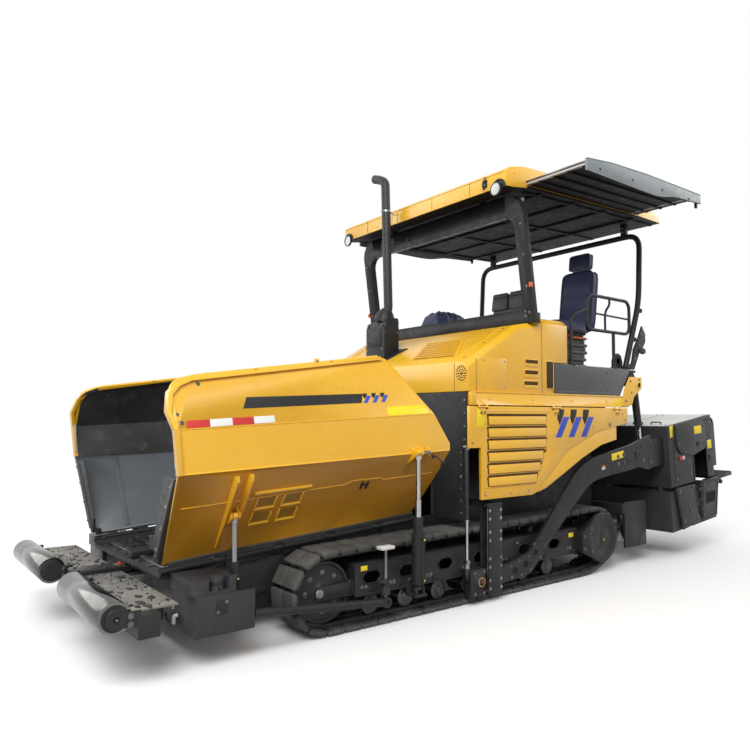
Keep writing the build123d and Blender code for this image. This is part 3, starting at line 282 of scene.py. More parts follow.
class Piece:
    """A mesh in the making, in millimetres about the machine's middle plane."""

    def __init__(self):
        self.points, self.faces, self.slots, self.mats = [], [], [], []
        self.frame = Matrix.Identity(4)

    def add(self, mat, points, faces):
        if mat not in self.mats:
            self.mats.append(mat)
        start = len(self.points)
        self.points += [self.frame @ Vector(p) for p in points]
        self.faces += [[start + i for i in face] for face in faces]
        self.slots += [self.mats.index(mat)] * len(faces)

    def add_bmesh(self, mat, bm):
        bm.verts.index_update()
        self.add(mat, [v.co.copy() for v in bm.verts], [[v.index for v in f.verts] for f in bm.faces])
        bm.free()

    def block(self, mat, lo, hi, bevel=3.0, turn=None, pivot=None):
        """Box with broken edges, turned by (axis, degrees) about a pivot or its own middle."""
        lo, hi = Vector(lo), Vector(hi)
        size, middle = hi - lo, (lo + hi) / 2
        bm = bmesh.new()
        bmesh.ops.create_cube(bm, size=1.0)
        for v in bm.verts:
            v.co = Vector(v.co[i] * abs(size[i]) for i in range(3))
        width = min(bevel, 0.3 * min(abs(c) for c in size))
        bmesh.ops.bevel(bm, geom=bm.edges[:], offset=width, segments=2, profile=0.5, affect="EDGES")
        place = Matrix.Translation(middle)
        if turn:
            about = Vector(pivot) if pivot else middle
            spin = Matrix.Rotation(math.radians(turn[1]), 4, turn[0])
            place = Matrix.Translation(about) @ spin @ Matrix.Translation(-about) @ place
        bm.transform(place)
        self.add_bmesh(mat, bm)

    def skin(self, mat, rings):
        """Closed surface through rings of equally many points, capped at both ends."""
        sides = len(rings[0])
        faces = []
        for a in range(0, (len(rings) - 1) * sides, sides):
            b = a + sides
            for i in range(sides):
                j = (i + 1) % sides
                faces.append([a + i, a + j, b + j, b + i])
        last = (len(rings) - 1) * sides
        faces += [list(range(sides))[::-1], list(range(last, last + sides))]
        self.add(mat, [p for around in rings for p in around], faces)

    def lathe(self, mat, start, along, profile, sides=24):
        """Turned shape from (distance, radius) pairs measured from start along a direction."""
        start = Vector(start)
        along = Vector(along).normalized()
        u, v = unit_pair(along)
        self.skin(mat, [[start + along * distance + u * a + v * b for a, b in ring(radius, sides)]
                        for distance, radius in profile])

    def cylinder(self, mat, a, b, r, sides=24, edge=2.0):
        """Round bar with broken ends."""
        along = Vector(b) - Vector(a)
        edge = min(edge, along.length * 0.3, r * 0.4)
        profile = [(0, r - edge), (edge, r), (along.length - edge, r), (along.length, r - edge)]
        self.lathe(mat, a, along, profile, sides)

    def tube(self, mat, points, r, bend=0.0, sides=14):
        """Bent round bar along the points."""
        path = rounded(points, bend) if bend else [Vector(p) for p in points]
        u = None
        rings = []
        for i, p in enumerate(path):
            ahead = (path[min(i + 1, len(path) - 1)] - path[max(i - 1, 0)]).normalized()
            if u is None:
                u = unit_pair(ahead)[0]
            u = (u - ahead * u.dot(ahead)).normalized()
            v = ahead.cross(u)
            rings.append([p + u * a + v * b for a, b in ring(r, sides)])
        self.skin(mat, rings)

    def plate(self, mat, points, t, out, bevel=1.5, sink=1.0):
        """Flat polygon of 3-D points, standing t off the face it lies on, towards out."""
        points = [Vector(p) for p in points]
        normal = Vector()
        for p, q in zip(points, points[1:] + points[:1]):
            normal += p.cross(q)
        normal.normalize()
        if normal.dot(Vector(out)) < 0:
            points, normal = points[::-1], -normal
        bm = bmesh.new()
        low = [bm.verts.new(p - normal * sink) for p in points]
        high = [bm.verts.new(p + normal * t) for p in points]
        bm.faces.new(low[::-1])
        top = bm.faces.new(high)
        for i in range(len(points)):
            j = (i + 1) % len(points)
            bm.faces.new([low[i], low[j], high[j], high[i]])
        if bevel:
            bmesh.ops.bevel(bm, geom=top.edges[:], offset=min(bevel, t * 0.45), segments=2,
                            profile=0.5, affect="EDGES")
        self.add_bmesh(mat, bm)

    def strip(self, mat, points, width, t, out, bevel=1.0):
        """Flat band of one width along the points, standing t off its face."""
        out = Vector(out).normalized()
        points = [Vector(p) for p in points]
        for a, b in zip(points, points[1:]):
            side = (b - a).cross(out).normalized() * width / 2
            self.plate(mat, [a - side, b - side, b + side, a + side], t, out, bevel)

    def bolt(self, p, out, r=8.0, mat=None):
        """Hexagon head on a washer."""
        p, out = Vector(p), Vector(out).normalized()
        self.lathe(mat or BOLT, p - out, out, [(0, r * 1.7), (2.5, r * 1.7), (3, r * 1.6)], 16)
        self.lathe(mat or BOLT, p + out, out, [(0, r), (r * 0.7, r), (r * 0.85, r * 0.85)], 6)

    def bolts(self, places, out, r=8.0, mat=None):
        for p in places:
            self.bolt(p, out, r, mat)

    def sign(self, mat, x, ys, zs, t=1.5, edge=0.4):
        """Blank rectangular label on a face that looks outwards."""
        (y0, y1), (z0, z1) = ys, zs
        self.plate(mat, side_on(x, (y0, z0), (y0, z1), (y1, z1), (y1, z0)), t, OUT, edge)

    def weld(self, points, r=4.0, mat=None):
        """Bead along a seam."""
        self.tube(mat or BLACK, points, r, 0, 8)

    def object(self, name, body, slot, flip):
        mesh = bpy.data.meshes.new(name)
        side = -1 if flip else 1
        points = [at(p.x * side, p.y, p.z) for p in self.points]
        mesh.from_pydata(points, [], [face[::side] for face in self.faces])
        mesh.polygons.foreach_set("material_index", self.slots)
        mesh.polygons.foreach_set("use_smooth", [True] * len(self.faces))
        return placed(name, mesh, self.mats, body)

    def beyond(self, limit):
        """A piece of what lies beyond x = limit, copied to the other side."""
        twin = Piece()
        twin.mats = self.mats
        for face, slot in zip(self.faces, self.slots):
            corners = [self.points[i] for i in face][::-1]
            if min(p.x for p in corners) > limit:
                start = len(twin.points)
                twin.points += [Vector((-p.x, p.y, p.z)) for p in corners]
                twin.faces.append(list(range(start, len(twin.points))))
                twin.slots.append(slot)
        return twin

    def done(self, name, body, slot, nodes=(), twin=False):
        """Makes the object, which stands for the nodes, and with twin its mirror image on the other side."""
        made = []
        for flip in (False, True) if twin else (False,):
            def other(text):
                return text.replace("_left", "_right") if flip else text
            suffix = ("_right" if flip else "_left") if twin else ""
            obj = self.object(name + suffix, other(body), slot, flip)
            theirs = [other(n) for n in nodes if not flip or other(n) != n]
            if theirs:
                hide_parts(*theirs)
            made.append(obj)
        return made


def refined(node, mat, width=2.5, choose=None):
    """Copy of a CAD node with its sharp edges broken, which stands for it."""
    bm = bmesh.new()
    bm.from_mesh(NODES[node].data)
    bmesh.ops.remove_doubles(bm, verts=bm.verts[:], dist=1e-5)
    bmesh.ops.dissolve_limit(bm, angle_limit=math.radians(0.6), verts=bm.verts[:], edges=bm.edges[:])
    sharp = [e for e in bm.edges
             if e.is_manifold and e.calc_face_angle() > 0.5 and e.calc_length() > width * 0.004]
    bmesh.ops.bevel(bm, geom=sharp, offset=width / 1000, segments=2, profile=0.5, affect="EDGES",
                    clamp_overlap=True)
    bmesh.ops.triangulate(bm, faces=[f for f in bm.faces if len(f.verts) > 4])
    mesh = bpy.data.meshes.new(node + "_dressed")
    mats = [mat]
    for face in bm.faces:
        face.smooth = True
        if choose:
            centre = (face.calc_center_median() - SHIFT) * 1000
            picked = choose(centre, face.normal) or mat
            if picked not in mats:
                mats.append(picked)
            face.material_index = mats.index(picked)
    bm.to_mesh(mesh)
    bm.free()
    obj = placed(node + "_dressed", mesh, mats, BODY_OF[node])
    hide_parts(node)


# ---------------------------------------------------------------- undercarriage
TRACK_X = (800.0, 1120.0)
IDLER, SPROCKET = Vector((0, -2090, 303)), Vector((0, 1095, 360))
TRACK_R = 303.0
TRACK_LIFT = math.radians(17)
SHOE_PITCH = 178.0
CHAIN_R = TRACK_R - 52
ARC_STEPS = 60


def track_path(r):
    """Points of the track's loop at a radius from both axles, from under the idler round the front."""
    tilt = math.atan2(SPROCKET.z - IDLER.z, SPROCKET.y - IDLER.y)
    points = []

    def arc(centre, start, end):
        for i in range(ARC_STEPS + 1):
            a = start + (end - start) * i / ARC_STEPS
            points.append(Vector((0, centre.y + r * math.cos(a), centre.z + r * math.sin(a))))

    arc(IDLER, math.radians(270), math.radians(90) + tilt)
    arc(SPROCKET, math.radians(90) + tilt, TRACK_LIFT - math.radians(90))
    leave = points[-1]
    floor = IDLER.z - r
    points.append(Vector((0, leave.y - (leave.z - floor) / math.tan(TRACK_LIFT), floor)))
    return points + [points[0]]


def stations(path, pitch):
    """(point, way along) at equal steps near the pitch round a closed path."""
    lengths = [(b - a).length for a, b in zip(path, path[1:])]
    total = sum(lengths)
    count = round(total / pitch)
    out, i, gone = [], 0, 0.0
    for k in range(count):
        want = total * k / count
        while gone + lengths[i] < want:
            gone += lengths[i]
            i += 1
        way = (path[i + 1] - path[i]).normalized()
        out.append((path[i] + way * (want - gone), way))
    return out


def oriented(origin, way):
    """Frame at a point of the loop: x across, y along, z outwards."""
    out = Vector((1, 0, 0)).cross(way)
    return Matrix.Translation(origin) @ Matrix((
        (1, way.x, out.x, 0), (0, way.y, out.y, 0), (0, way.z, out.z, 0), (0, 0, 0, 1)))


def tracks():
    piece = Piece()
    x0, x1 = TRACK_X
    half = SHOE_PITCH / 2 - 20
    places = stations(track_path(CHAIN_R), SHOE_PITCH * CHAIN_R / TRACK_R)
    for (a, way_a), (b, _) in zip(places, places[1:] + places[:1]):
        chord = b - a
        piece.frame = oriented((a + b) / 2, chord.normalized())
        for lo, hi in ((x0, x0 + 154), (x0 + 166, x1)):
            piece.block(RUBBER, (lo, -half, 14), (hi, half, 49), 11)
        piece.block(TRACK, (x0 + 3, -half + 12, 4), (x1 - 3, half - 12, 20), 2)
        for x in (x0 + 30, x0 + 124, x1 - 124, x1 - 30):
            for y in (-half * 0.5, half * 0.5):
                piece.lathe(BOLT, (x, y, 44), UP, [(0, 13), (4, 13), (4.2, 8), (1, 7)], 6)
        link = chord.length / 2
        for x in (x0 + 88, x1 - 108):
            piece.block(BLACK, (x, -link - 20, -22), (x + 20, link - 14, 14), 8)
            piece.block(BLACK, (x + 24, -link + 14, -22), (x + 42, link + 20, 14), 8)
        piece.frame = oriented(a, way_a)
        piece.cylinder(BLACK, (x0 + 82, 0, -4), (x1 - 60, 0, -4), 14, 12)
    piece.frame = Matrix.Identity(4)
    piece.done("track", "chassis", "track_rubber", ("track_left",), True)


def wheel(piece, x0, x1, centre, r, hub, bolts=0):
    """Wheel with a raised rim, a dished face and a hub cap toward +X."""
    y, z = centre
    wide = x1 - x0
    piece.lathe(BLACK, (x0, y, z), OUT,
                [(0, r * 0.4), (2, r - 12), (6, r), (wide - 8, r), (wide, r - 8), (wide, r - 26),
                 (wide - 16, r - 34), (wide - 16, hub + 26), (wide + 4, hub), (wide + 14, hub - 6),
                 (wide + 14, hub * 0.5)], 40)
    piece.bolts([(x1 - 16, y + a, z + b) for a, b in ring(r * 0.62, bolts)], OUT, 11)


def running_gear():
    piece = Piece()
    wheel(piece, 876, 1046, (IDLER.y, IDLER.z), 225, 62, 8)
    piece.lathe(BLACK, (876, SPROCKET.y, SPROCKET.z), OUT, [(0, 120), (0, 212), (70, 212), (70, 150),
                                                            (122, 150), (122, 60)], 40)
    for i in range(15):
        piece.block(STEEL, (912, SPROCKET.y - 22, SPROCKET.z + 190), (940, SPROCKET.y + 22, SPROCKET.z + 227),
                    9, ("X", i * 24), (926, SPROCKET.y, SPROCKET.z))
    for y in (-1690, -1350, -1010, -670, -330, 10, 350):
        piece.lathe(EXHAUST, (870, y, 158), OUT, [(0, 30), (0, 70), (4, 76), (34, 76), (36, 62), (164, 62),
                                                  (166, 76), (196, 76), (200, 70), (200, 34),
                                                  (206, 30), (206, 10)], 32)
    for y in (-1200, 150):
        piece.lathe(STEEL, (890, y, 514), OUT, [(0, 14), (0, 32), (40, 32), (42, 24), (118, 24), (120, 32),
                                                (160, 32), (160, 12)], 24)
    piece.done("wheels", "chassis", "black_paint", ("track_wheels",), True)

    piece = Piece()
    y, z = SPROCKET.y, SPROCKET.z
    x = 1176
    piece.lathe(BLACK, (1128, y, z), OUT, [(0, 200), (0, 238), (5, 245), (38, 245), (48, 234), (48, 150),
                                           (45, 146), (45, 60), (48, 56), (48, 20)], 48)
    nose = [(y - 330, z - 112), (y - 330, z + 78), (y - 62, z + 230), (y - 40, z), (y - 110, z - 210)]
    piece.plate(BLACK, side_on(1129, *nose), 46, OUT, 5, 0)
    piece.block(BLACK, (1004, y - 322, z - 100), (1129, y - 60, z + 80), 6)
    piece.bolts([(x - 1, y + a, z + b) for a, b in ring(212, 5, 0.3)], OUT, 5)
    for a, b in ((-300, -80), (-300, 40), (-190, 100), (-180, -120)):
        piece.bolt((x - 1, y + a, z + b), OUT, 9)
    piece.lathe(BRASS, (x - 2, y + 2, z - 20), OUT, [(0, 12), (5, 12), (6, 6), (12, 5)], 12)
    piece.done("drive_cover", "chassis", "black_paint", ("final_drives",), True)

    piece = Piece()
    for y in (-1700, -1360, -960, -560, 0, 420):
        window = closed(((-80, 14), (-80, -14), (-46, -47), (46, -47), (80, -14), (80, 14), (46, 47),
                         (-46, 47)))
        piece.tube(BLACK, [(1101, y + a, 366 + b) for a, b in window], 5, 0, 8)
    for y in (-1790, -1530, -1160, -760, -280, 210, 620):
        piece.bolts(side_on(1100, (y, 300), (y + 40, 300)), OUT, 11)
        piece.block(BLACK, (1099, y + 60, 262), (1107, y + 110, 286), 2)
    piece.weld(side_on(1102, (-1840, 470), (760, 470)), 4)
    piece.sign(SIGN, 1100, (-1800, -1742), (420, 455), 2, 0.5)
    piece.sign(SIGN, 1100, (640, 710), (400, 440), 2, 0.5)
    piece.block(BLACK, (1098, -140, 410), (1106, -60, 456), 3)
    piece.lathe(BRASS, (1105, -100, 434), OUT, [(0, 9), (5, 9), (6, 5), (11, 4)], 12)
    piece.cylinder(STEEL, (1056, -2140, 303), (1082, -2140, 303), 32, 24)
    piece.block(BLACK, (1050, -2150, 262), (1074, -1860, 344), 5)
    piece.tube(CHROME, side_on(1000, (-2000, 303), (-1840, 330)), 28, 0, 16)
    piece.done("frame_fittings", "chassis", "black_paint", (), True)


# ---------------------------------------------------------------- front end
ROLLER_Y, ROLLER_Z = -3576, 436
BEAM_TOP = 450                      # top of the plates on the push beam


def crumb(piece, x, y, z, r):
    """One crumb of asphalt lying on a face."""
    piece.lathe(TAR, (x, y, z), UP, [(0, r), (r * 0.6, r * 0.9), (r, r * 0.4)], 6)


def front_end():
    piece = Piece()
    piece.block(BLACK, (-1298, -3460, 300), (1298, -3330, 437), 6)
    piece.block(DUSTY, (-1210, -3470, 436), (-94, -3200, BEAM_TOP), 3)
    piece.block(DUSTY, (94, -3470, 436), (1210, -3200, BEAM_TOP), 3)
    # asphalt left on the beam: flat patches and crumbs
    chance = random.Random(7)
    for _ in range(26):
        x = chance.uniform(130, 1170) * chance.choice(SIDES)
        y, r = chance.uniform(-3450, -3220), chance.uniform(12, 44)
        patch = [(x + a * chance.uniform(0.6, 1.4), y + 0.6 * b * chance.uniform(0.6, 1.3), BEAM_TOP)
                 for a, b in ring(r, 10)]
        piece.plate(TAR, patch, chance.uniform(2, 5), UP, 1)
    for _ in range(170):
        x = chance.uniform(105, 1200) * chance.choice(SIDES)
        crumb(piece, x, chance.uniform(-3460, -3210), BEAM_TOP - 1, chance.uniform(3, 9))
    piece.block(BLACK, (-90, -3520, 430), (90, -3130, 480), 6)
    piece.block(BLACK, (-100, -3340, 300), (100, -3235, 400), 5)
    piece.lathe(BLACK, (0, -3190, 300), UP, [(0, 31), (0, 62), (100, 62), (100, 31)], 32)
    piece.block(BLACK, (-60, -3250, 302), (60, -3222, 398), 4)
    for x in (-1284, -276, 276, 1284):
        piece.block(BLACK, (x - 11, -3598, 382), (x + 11, -3440, 468), 4)
        piece.cylinder(BLACK, (x - 14, ROLLER_Y, ROLLER_Z), (x + 14, ROLLER_Y, ROLLER_Z), 60, 32)
        piece.bolts(side_on(x + 14, (-3500, 400), (-3500, 445)), OUT, 10)
    for x in (-1100, -700, -400, 400, 700, 1100):
        piece.bolts(side_on(x, (-3440, BEAM_TOP), (-3230, BEAM_TOP)), UP, 10)
    for x in (-1000, -560, 560, 1000):
        piece.block(BLACK, (x - 8, -3340, 310), (x + 8, -3215, 436), 3)
    for y in (-3480, -3300, -3170):
        piece.bolts([(-60, y, 480), (60, y, 480)], UP, 11)
    piece.lathe(BRASS, (0, -3190, 479), UP, [(0, 40), (6, 40), (8, 34), (8, 16)], 24)
    piece.lathe(RED, (0, -3190, 485), UP, [(0, 15), (7, 15), (9, 10)], 16)
    piece.done("push_beam_dressed", "push_beam", "worn_steel", ("push_beam",))

    roller = Piece()
    y, z = ROLLER_Y, ROLLER_Z
    roller.lathe(POLISHED, (296, y, z), OUT, [(0, 60), (0, 90), (3, 92), (965, 92), (968, 90), (968, 60)], 64)
    for x, way in ((298, -1), (1262, 1)):
        roller.lathe(BLACK, (x, y, z), OUT * way, [(0, 78), (1, 78), (4, 74), (4, 40), (2, 34), (2, 22)], 40)
    roller.cylinder(BLACK, (264, y, z), (1296, y, z), 22, 24)
    roller.bolts([(1296, y, z)], OUT, 10)
    roller.done("push_roller_dressed", "push_roller_left", "worn_steel", ("push_roller_left",), True)

    refined("front_bumper", DARK, 4)
    piece = Piece()
    piece.block(BLACK, (1198, -2960, 330), (1204, -2880, 420), 3)
    piece.bolts(side_on(1204, (-2948, 346), (-2892, 404)), OUT, 7)
    for _ in range(60):
        crumb(piece, chance.uniform(860, 1180), chance.uniform(-3060, -2820), 499, chance.uniform(3, 8))
    piece.cylinder(BRASS, (860, -3094, 330), (860, -3104, 330), 12, 6)
    piece.tube(WHITE, side_on(905, (-3090, 290), (-3112, 290), (-3112, 240)), 12, 14, 12)
    piece.tube(BLACK, [(905, -3112, 262), (880, -3118, 232), (780, -3118, 236),
                       (700, -3094, 260)], 10, 50, 12)
    piece.lathe(BLACK, (1120, -2925, 500), UP, [(0, 44), (20, 44), (26, 38), (26, 26), (6, 24)], 32)
    piece.done("front_block_fittings", "chassis", "dark_grey_paint", (), True)

    piece = Piece()
    x = 1178
    piece.cylinder(BLACK, (x, -2691, 290), (x, -1660, 186), 30, 28)
    piece.lathe(BLACK, (x - 28, -1630, 184), OUT, [(0, 22), (0, 40), (56, 40), (56, 22),
                                                   (46, 20), (46, 8)], 32)
    piece.cylinder(STEEL, (x, -1630, 196), (x, -1630, 592), 12, 16)
    for i in range(26):
        h = 352 + i * 8
        piece.lathe(STEEL, (x, -1630, h), UP, [(0, 12), (2, 15.5), (4, 15.5), (6, 12)], 12)
    piece.lathe(DARK, (x, -1630, 236), UP, [(0, 24), (4, 34), (60, 34), (66, 26), (74, 26), (78, 36),
                                            (92, 36), (96, 24)], 28)
    piece.lathe(DARK, (x, -1648, 330), UP, [(0, 40), (4, 46), (16, 46), (20, 40)], 28)
    piece.block(WHITE, (x - 38, -1690, 572), (x + 38, -1570, 598), 5)
    piece.tube(STEEL, side_on(x - 16, (-1642, 598), (-1642, 560)), 5, 0, 8)
    piece.cylinder(BRASS, (x, -2420, 258), (x, -2402, 292), 9, 10)
    piece.done("side_strut_dressed", "chassis", "dark_grey_paint", ("side_struts",), True)


# ---------------------------------------------------------------- hopper
HINGE_X, WING_X, BODY_X = 780.0, 1240.0, 1220.0
HOPPER_Y0, HINGE_Z0, HINGE_SLOPE = -3165.0, 553.0, 0.0712
WING_LEAN = 0.55


def hinge_z(y):
    """Height of the wing's hinge line at y."""
    return HINGE_Z0 + HINGE_SLOPE * (y - HOPPER_Y0)


def bend_low(y):
    """Height at which the wing's lower panel meets the upright one."""
    return 1208 + 0.0402 * (y + 3230)


def bend_high(y):
    """Height at which the wing's upright panel meets the leaning top one."""
    return 1482 + 0.052 * (y + 3212)


def upper(y, z):
    """Point on the outer face of the wing's leaning top panel."""
    return Vector((WING_X - (z - bend_high(y)) * WING_LEAN, y, z))


def lower(y, z):
    """Point on the outer face of the wing's lower panel."""
    low, start = hinge_z(y) + 34, HINGE_X + 12
    return Vector((start + (WING_X - start) * (z - low) / (bend_low(y) - low), y, z))


def middle(y, z):
    """Point on the outer face of the wing's upright panel."""
    return Vector((WING_X, y, z))


REAR_CYLINDER_Y, FRONT_CYLINDER_Y = -1318.0, -2738.0
UP_OUT = Vector((0.876, 0, 0.482))
LOW_OUT = Vector((0.82, 0, -0.57))


def flap_point(x, z, front):
    """Point of the rubber flap, which leans forward as it rises."""
    return Vector((x, front - (z - 600) * 0.06, z))


def face_plate(piece, mat, face, corners, t, out, bevel=1.5):
    piece.plate(mat, [face(y, z) for y, z in corners], t, out, bevel)


def marks(piece, face, y0, z0, sy, sz, slope, out):
    """Three dark wedges over three blue bars, as stripes and nothing more."""
    wedge = ((38, 264), (134, 265), (115, 200), (63, 113), (27, 178))
    bar = ((122, 193), (208, 193), (84, 0), (0, 0))
    for i in range(3):
        for mat, shape, t in ((BLACK, wedge, 1.5), (BLUE, bar, 1.8)):
            spots = [(y0 + (a + 192 * i) * sy, z0 + b * sz) for a, b in shape]
            piece.plate(mat, [face(a, b + (a - y0) * slope) for a, b in spots], t, out, 0.4)


def wing_inside(centre, normal):
    """Dark steel on the wing's inner faces, with a blue-grey lower panel, yellow darkened as painted shade on
    the lower panel's outer face, and paint elsewhere.
    """
    side = 1 if centre.x > 0 else -1
    y, z, x = centre.y, centre.z, centre.x * side
    if y < HOPPER_Y0 - 60 and z > 1300:
        return None
    faces_in = normal.x * side
    if z < hinge_z(y) + 46:
        return BLACK
    if z < bend_low(y) + 6:
        inside = faces_in < -0.3 and x < lower(y, z).x - 6
        if inside and z > hinge_z(y) + 30:
            return SLATE if z < bend_low(y) - 20 else INNER
        # the lower panel's outer face looks down, so it takes yellow darkened as painted shade
        return YELLOW_IN_SHADE if faces_in > 0.3 and x < WING_X + 4 else None
    if z > bend_high(y) - 4:
        return INNER if faces_in < -0.3 and x < upper(y, z).x - 8 and z < rim_z(y) - 14 else None
    return INNER if faces_in < -0.3 and x < WING_X - 8 else None


def rim_z(y):
    """Height of the wing's rim at y."""
    if y < -1560:
        return 1815 + (y + 3110) * (2038 - 1815) / 1550
    return 2038 + (y + 1560) * (1590 - 2038) / 355


def wings():
    for side in ("left", "right"):
        refined(f"hopper_wing_{side}", YELLOW, 3, wing_inside)
    piece = Piece()
    face_plate(piece, BLACK, upper, [(-2792, 1614), (-2752, 1690), (-1826, 1734), (-1856, 1664)],
               1.5, UP_OUT, 0.4)
    marks(piece, upper, -1840, 1664, 0.42, 0.27, 0.054, UP_OUT)
    face_plate(piece, SIGN, upper, [(-1652, 1572), (-1640, 1634), (-1272, 1660), (-1250, 1590)],
               1.5, UP_OUT, 0.4)
    for k in range(4):
        y0, y1 = -3182 + k * 148, -3034 + k * 148
        z0, z1 = 1490 + k * 8.5, 1498.5 + k * 8.5
        face_plate(piece, (RED, WHITE)[k % 2], upper, [(y0, z0), (y0 + 5, z0 + 46), (y1 + 5, z1 + 46),
                                                       (y1, z1)], 2, UP_OUT, 0.5)
    for y, z in ((-3229, 1573), (-3207, 1522), (-3060, 1770)):
        piece.bolt(upper(y, z), UP_OUT, 9)
    for y0, y1 in ((-2650, -2622), (-2028, -2000)):
        z0 = rim_z((y0 + y1) / 2)
        piece.block(BLACK, (upper(y0, z0).x - 32, y0, z0 - 12), (upper(y0, z0).x + 20, y1, z0 + 4), 3)
    z0 = rim_z(-2141)
    piece.block(YELLOW, (upper(-2141, z0).x - 10, -2162, z0 - 26), (upper(-2141, z0).x + 6,
            -2122, z0 + 34), 5)
    piece.lathe(STEEL, upper(-2142, z0 + 14) - OUT * 12, OUT, [(0, 10), (30, 10)], 12)
    # rolled edges and the seams where the panels are bent
    rim = [upper(-3236, 1496), upper(-3236, 1768), upper(-3096, 1818), upper(-1572, 2036)]
    piece.tube(YELLOW, [p - Vector((9, 0, 2)) for p in rim], 15, 130, 14)
    line = [middle(y, bend_low(y)) + Vector((0.5, 0, 0)) for y in (-3224, -1042)]
    piece.tube(YELLOW, line, 5, 0, 8)
    line = [middle(y, bend_high(y)) + Vector((-1, 0, 1)) for y in (-3246, -1215)]
    piece.tube(YELLOW, line, 4, 0, 8)
    flap = [(1206, 1180), (1112, 1060), (1006, 905), (892, 745), (808, 606), (748, 610), (716, 730),
            (800, 880), (965, 1190)]
    piece.plate(BLACK, [flap_point(a, b, -3172) for a, b in flap], 14, FRONT, 4, 2)
    strip = ((1186, 1180), (1090, 1056), (984, 905), (872, 745), (800, 640), (776, 652), (852, 762),
             (962, 920), (1066, 1070), (1150, 1180))
    piece.plate(RUBBER, [flap_point(a, b, -3190) for a, b in strip], 10, FRONT, 3, 4)
    for a, b in ((1126, 1130), (1030, 1000), (926, 850), (826, 706)):
        piece.bolt(flap_point(a, b, -3200), FRONT, 9, STEEL)
    piece.plate(GREY, [(1190, -3226, 1250), (1190, -3236, 1470), (1206, -3240, 1540), (1240, -3240, 1470),
                       (1240, -3226, 1250)], 9, FRONT, 2)
    seam = [(-3149, 985), (-1947, 1063), (-1889, 1091), (-1624, 1098), (-1590, 1082), (-1100, 1112)]
    piece.strip(YELLOW, [lower(y, z) for y, z in seam], 9, 4, LOW_OUT, 1.5)
    for y, z in seam[1:5]:
        piece.lathe(YELLOW, lower(y, z), LOW_OUT, [(0, 6), (4, 5.5)], 12)
    # plate with four square pockets, their floors darker yellow as painted shade
    face_plate(piece, YELLOW, lower, [(-2672, 1044), (-2672, 1062), (-2236, 1086),
                                      (-2236, 1068)], 16, LOW_OUT, 4)
    for column in (-2628, -2424):
        for row in (938, 826):
            rise = (column + 2668) * 0.055
            hole = [(column, row + rise), (column, row + 72 + rise), (column + 132, row + 80 + rise),
                    (column + 132, row + 8 + rise)]
            lip = [(column - 10, row - 8 + rise), (column - 10, row + 6 + rise),
                   (column + 146, row + 16 + rise), (column + 146, row + 1 + rise)]
            face_plate(piece, POCKET_SHADE, lower, [(y, z + 4) for y, z in hole], 2, LOW_OUT, 0)
            face_plate(piece, YELLOW, lower, lip, 15, LOW_OUT, 4)
            for x0, x1 in ((column - 10, column + 2), (column + 132, column + 144)):
                side = [(x0, row + rise - 4), (x0, row + 84 + rise), (x1, row + 84 + rise),
                        (x1, row + rise - 4)]
                face_plate(piece, YELLOW, lower, side, 12, LOW_OUT, 3)
    # small H bracket, handle and its clips
    face_plate(piece, BLACK, lower, [(-1792, 1050), (-1792, 1060), (-1722, 1063),
                                     (-1722, 1053)], 10, LOW_OUT, 3)
    for y in (-1788, -1736):
        face_plate(piece, BLACK, lower, [(y, 1024), (y, 1078), (y + 10, 1079),
                                         (y + 10, 1025)], 12, LOW_OUT, 3)
    handle = [middle(-1213, 1250), middle(-1213, 1258) + Vector((36, 0, -4)),
              middle(-1120, 1190) + Vector((36, 0, -4)), middle(-1120, 1182)]
    piece.tube(BLACK, handle, 6, 16, 10)
    for p in (handle[0], handle[3]):
        piece.lathe(BLACK, p - OUT * 2, OUT, [(0, 15), (4, 15), (6, 9)], 16)
    # ribs inside the wing and rubber flap along the hinge
    for y in (-2900, -2300, -1700, -1200):
        z0, z1 = hinge_z(y) + 60, bend_low(y) - 30
        a, b = lower(y, z0) - LOW_OUT * 15, lower(y, z1) - LOW_OUT * 15
        piece.strip(SLATE, [a, b], 46, 6, -LOW_OUT, 2)
    edge = [Vector((HINGE_X + 6, y, hinge_z(y) + 44)) for y in (-3120, -1075)]
    piece.strip(RUBBER, [p + Vector((16, 0, 2)) for p in edge], 34, 8, LOW_OUT, 3)
    piece.block(BLACK, (742, -3160, 590), (800, -3120, 640), 6)
    # gusset behind the rear cylinder's eye
    y = REAR_CYLINDER_Y
    for dy in (-47, 47):
        piece.block(YELLOW, (1232, y + dy - 8, 1258), (1262, y + dy + 8, 1322), 4)
    piece.cylinder(STEEL, (1272, y - 46, 1286), (1272, y + 46, 1286), 13, 16)
    piece.lathe(STEEL, (1272, y - 50, 1286), REAR, [(0, 20), (8, 20), (10, 14)], 16)
    for dy in (-1, 1):
        piece.weld([lower(FRONT_CYLINDER_Y + dy * 58, z) + LOW_OUT for z in (680, 900, 1150)], 4, YELLOW)
    piece.lathe(BRASS, (1060, FRONT_CYLINDER_Y - 50, 918), REAR, [(0, 18), (8, 18), (10, 10)], 16)
    piece.done("wing_fittings", "wing_left", "yellow_paint", (), True)


FLOOR_TILT = ("X", 4.07)


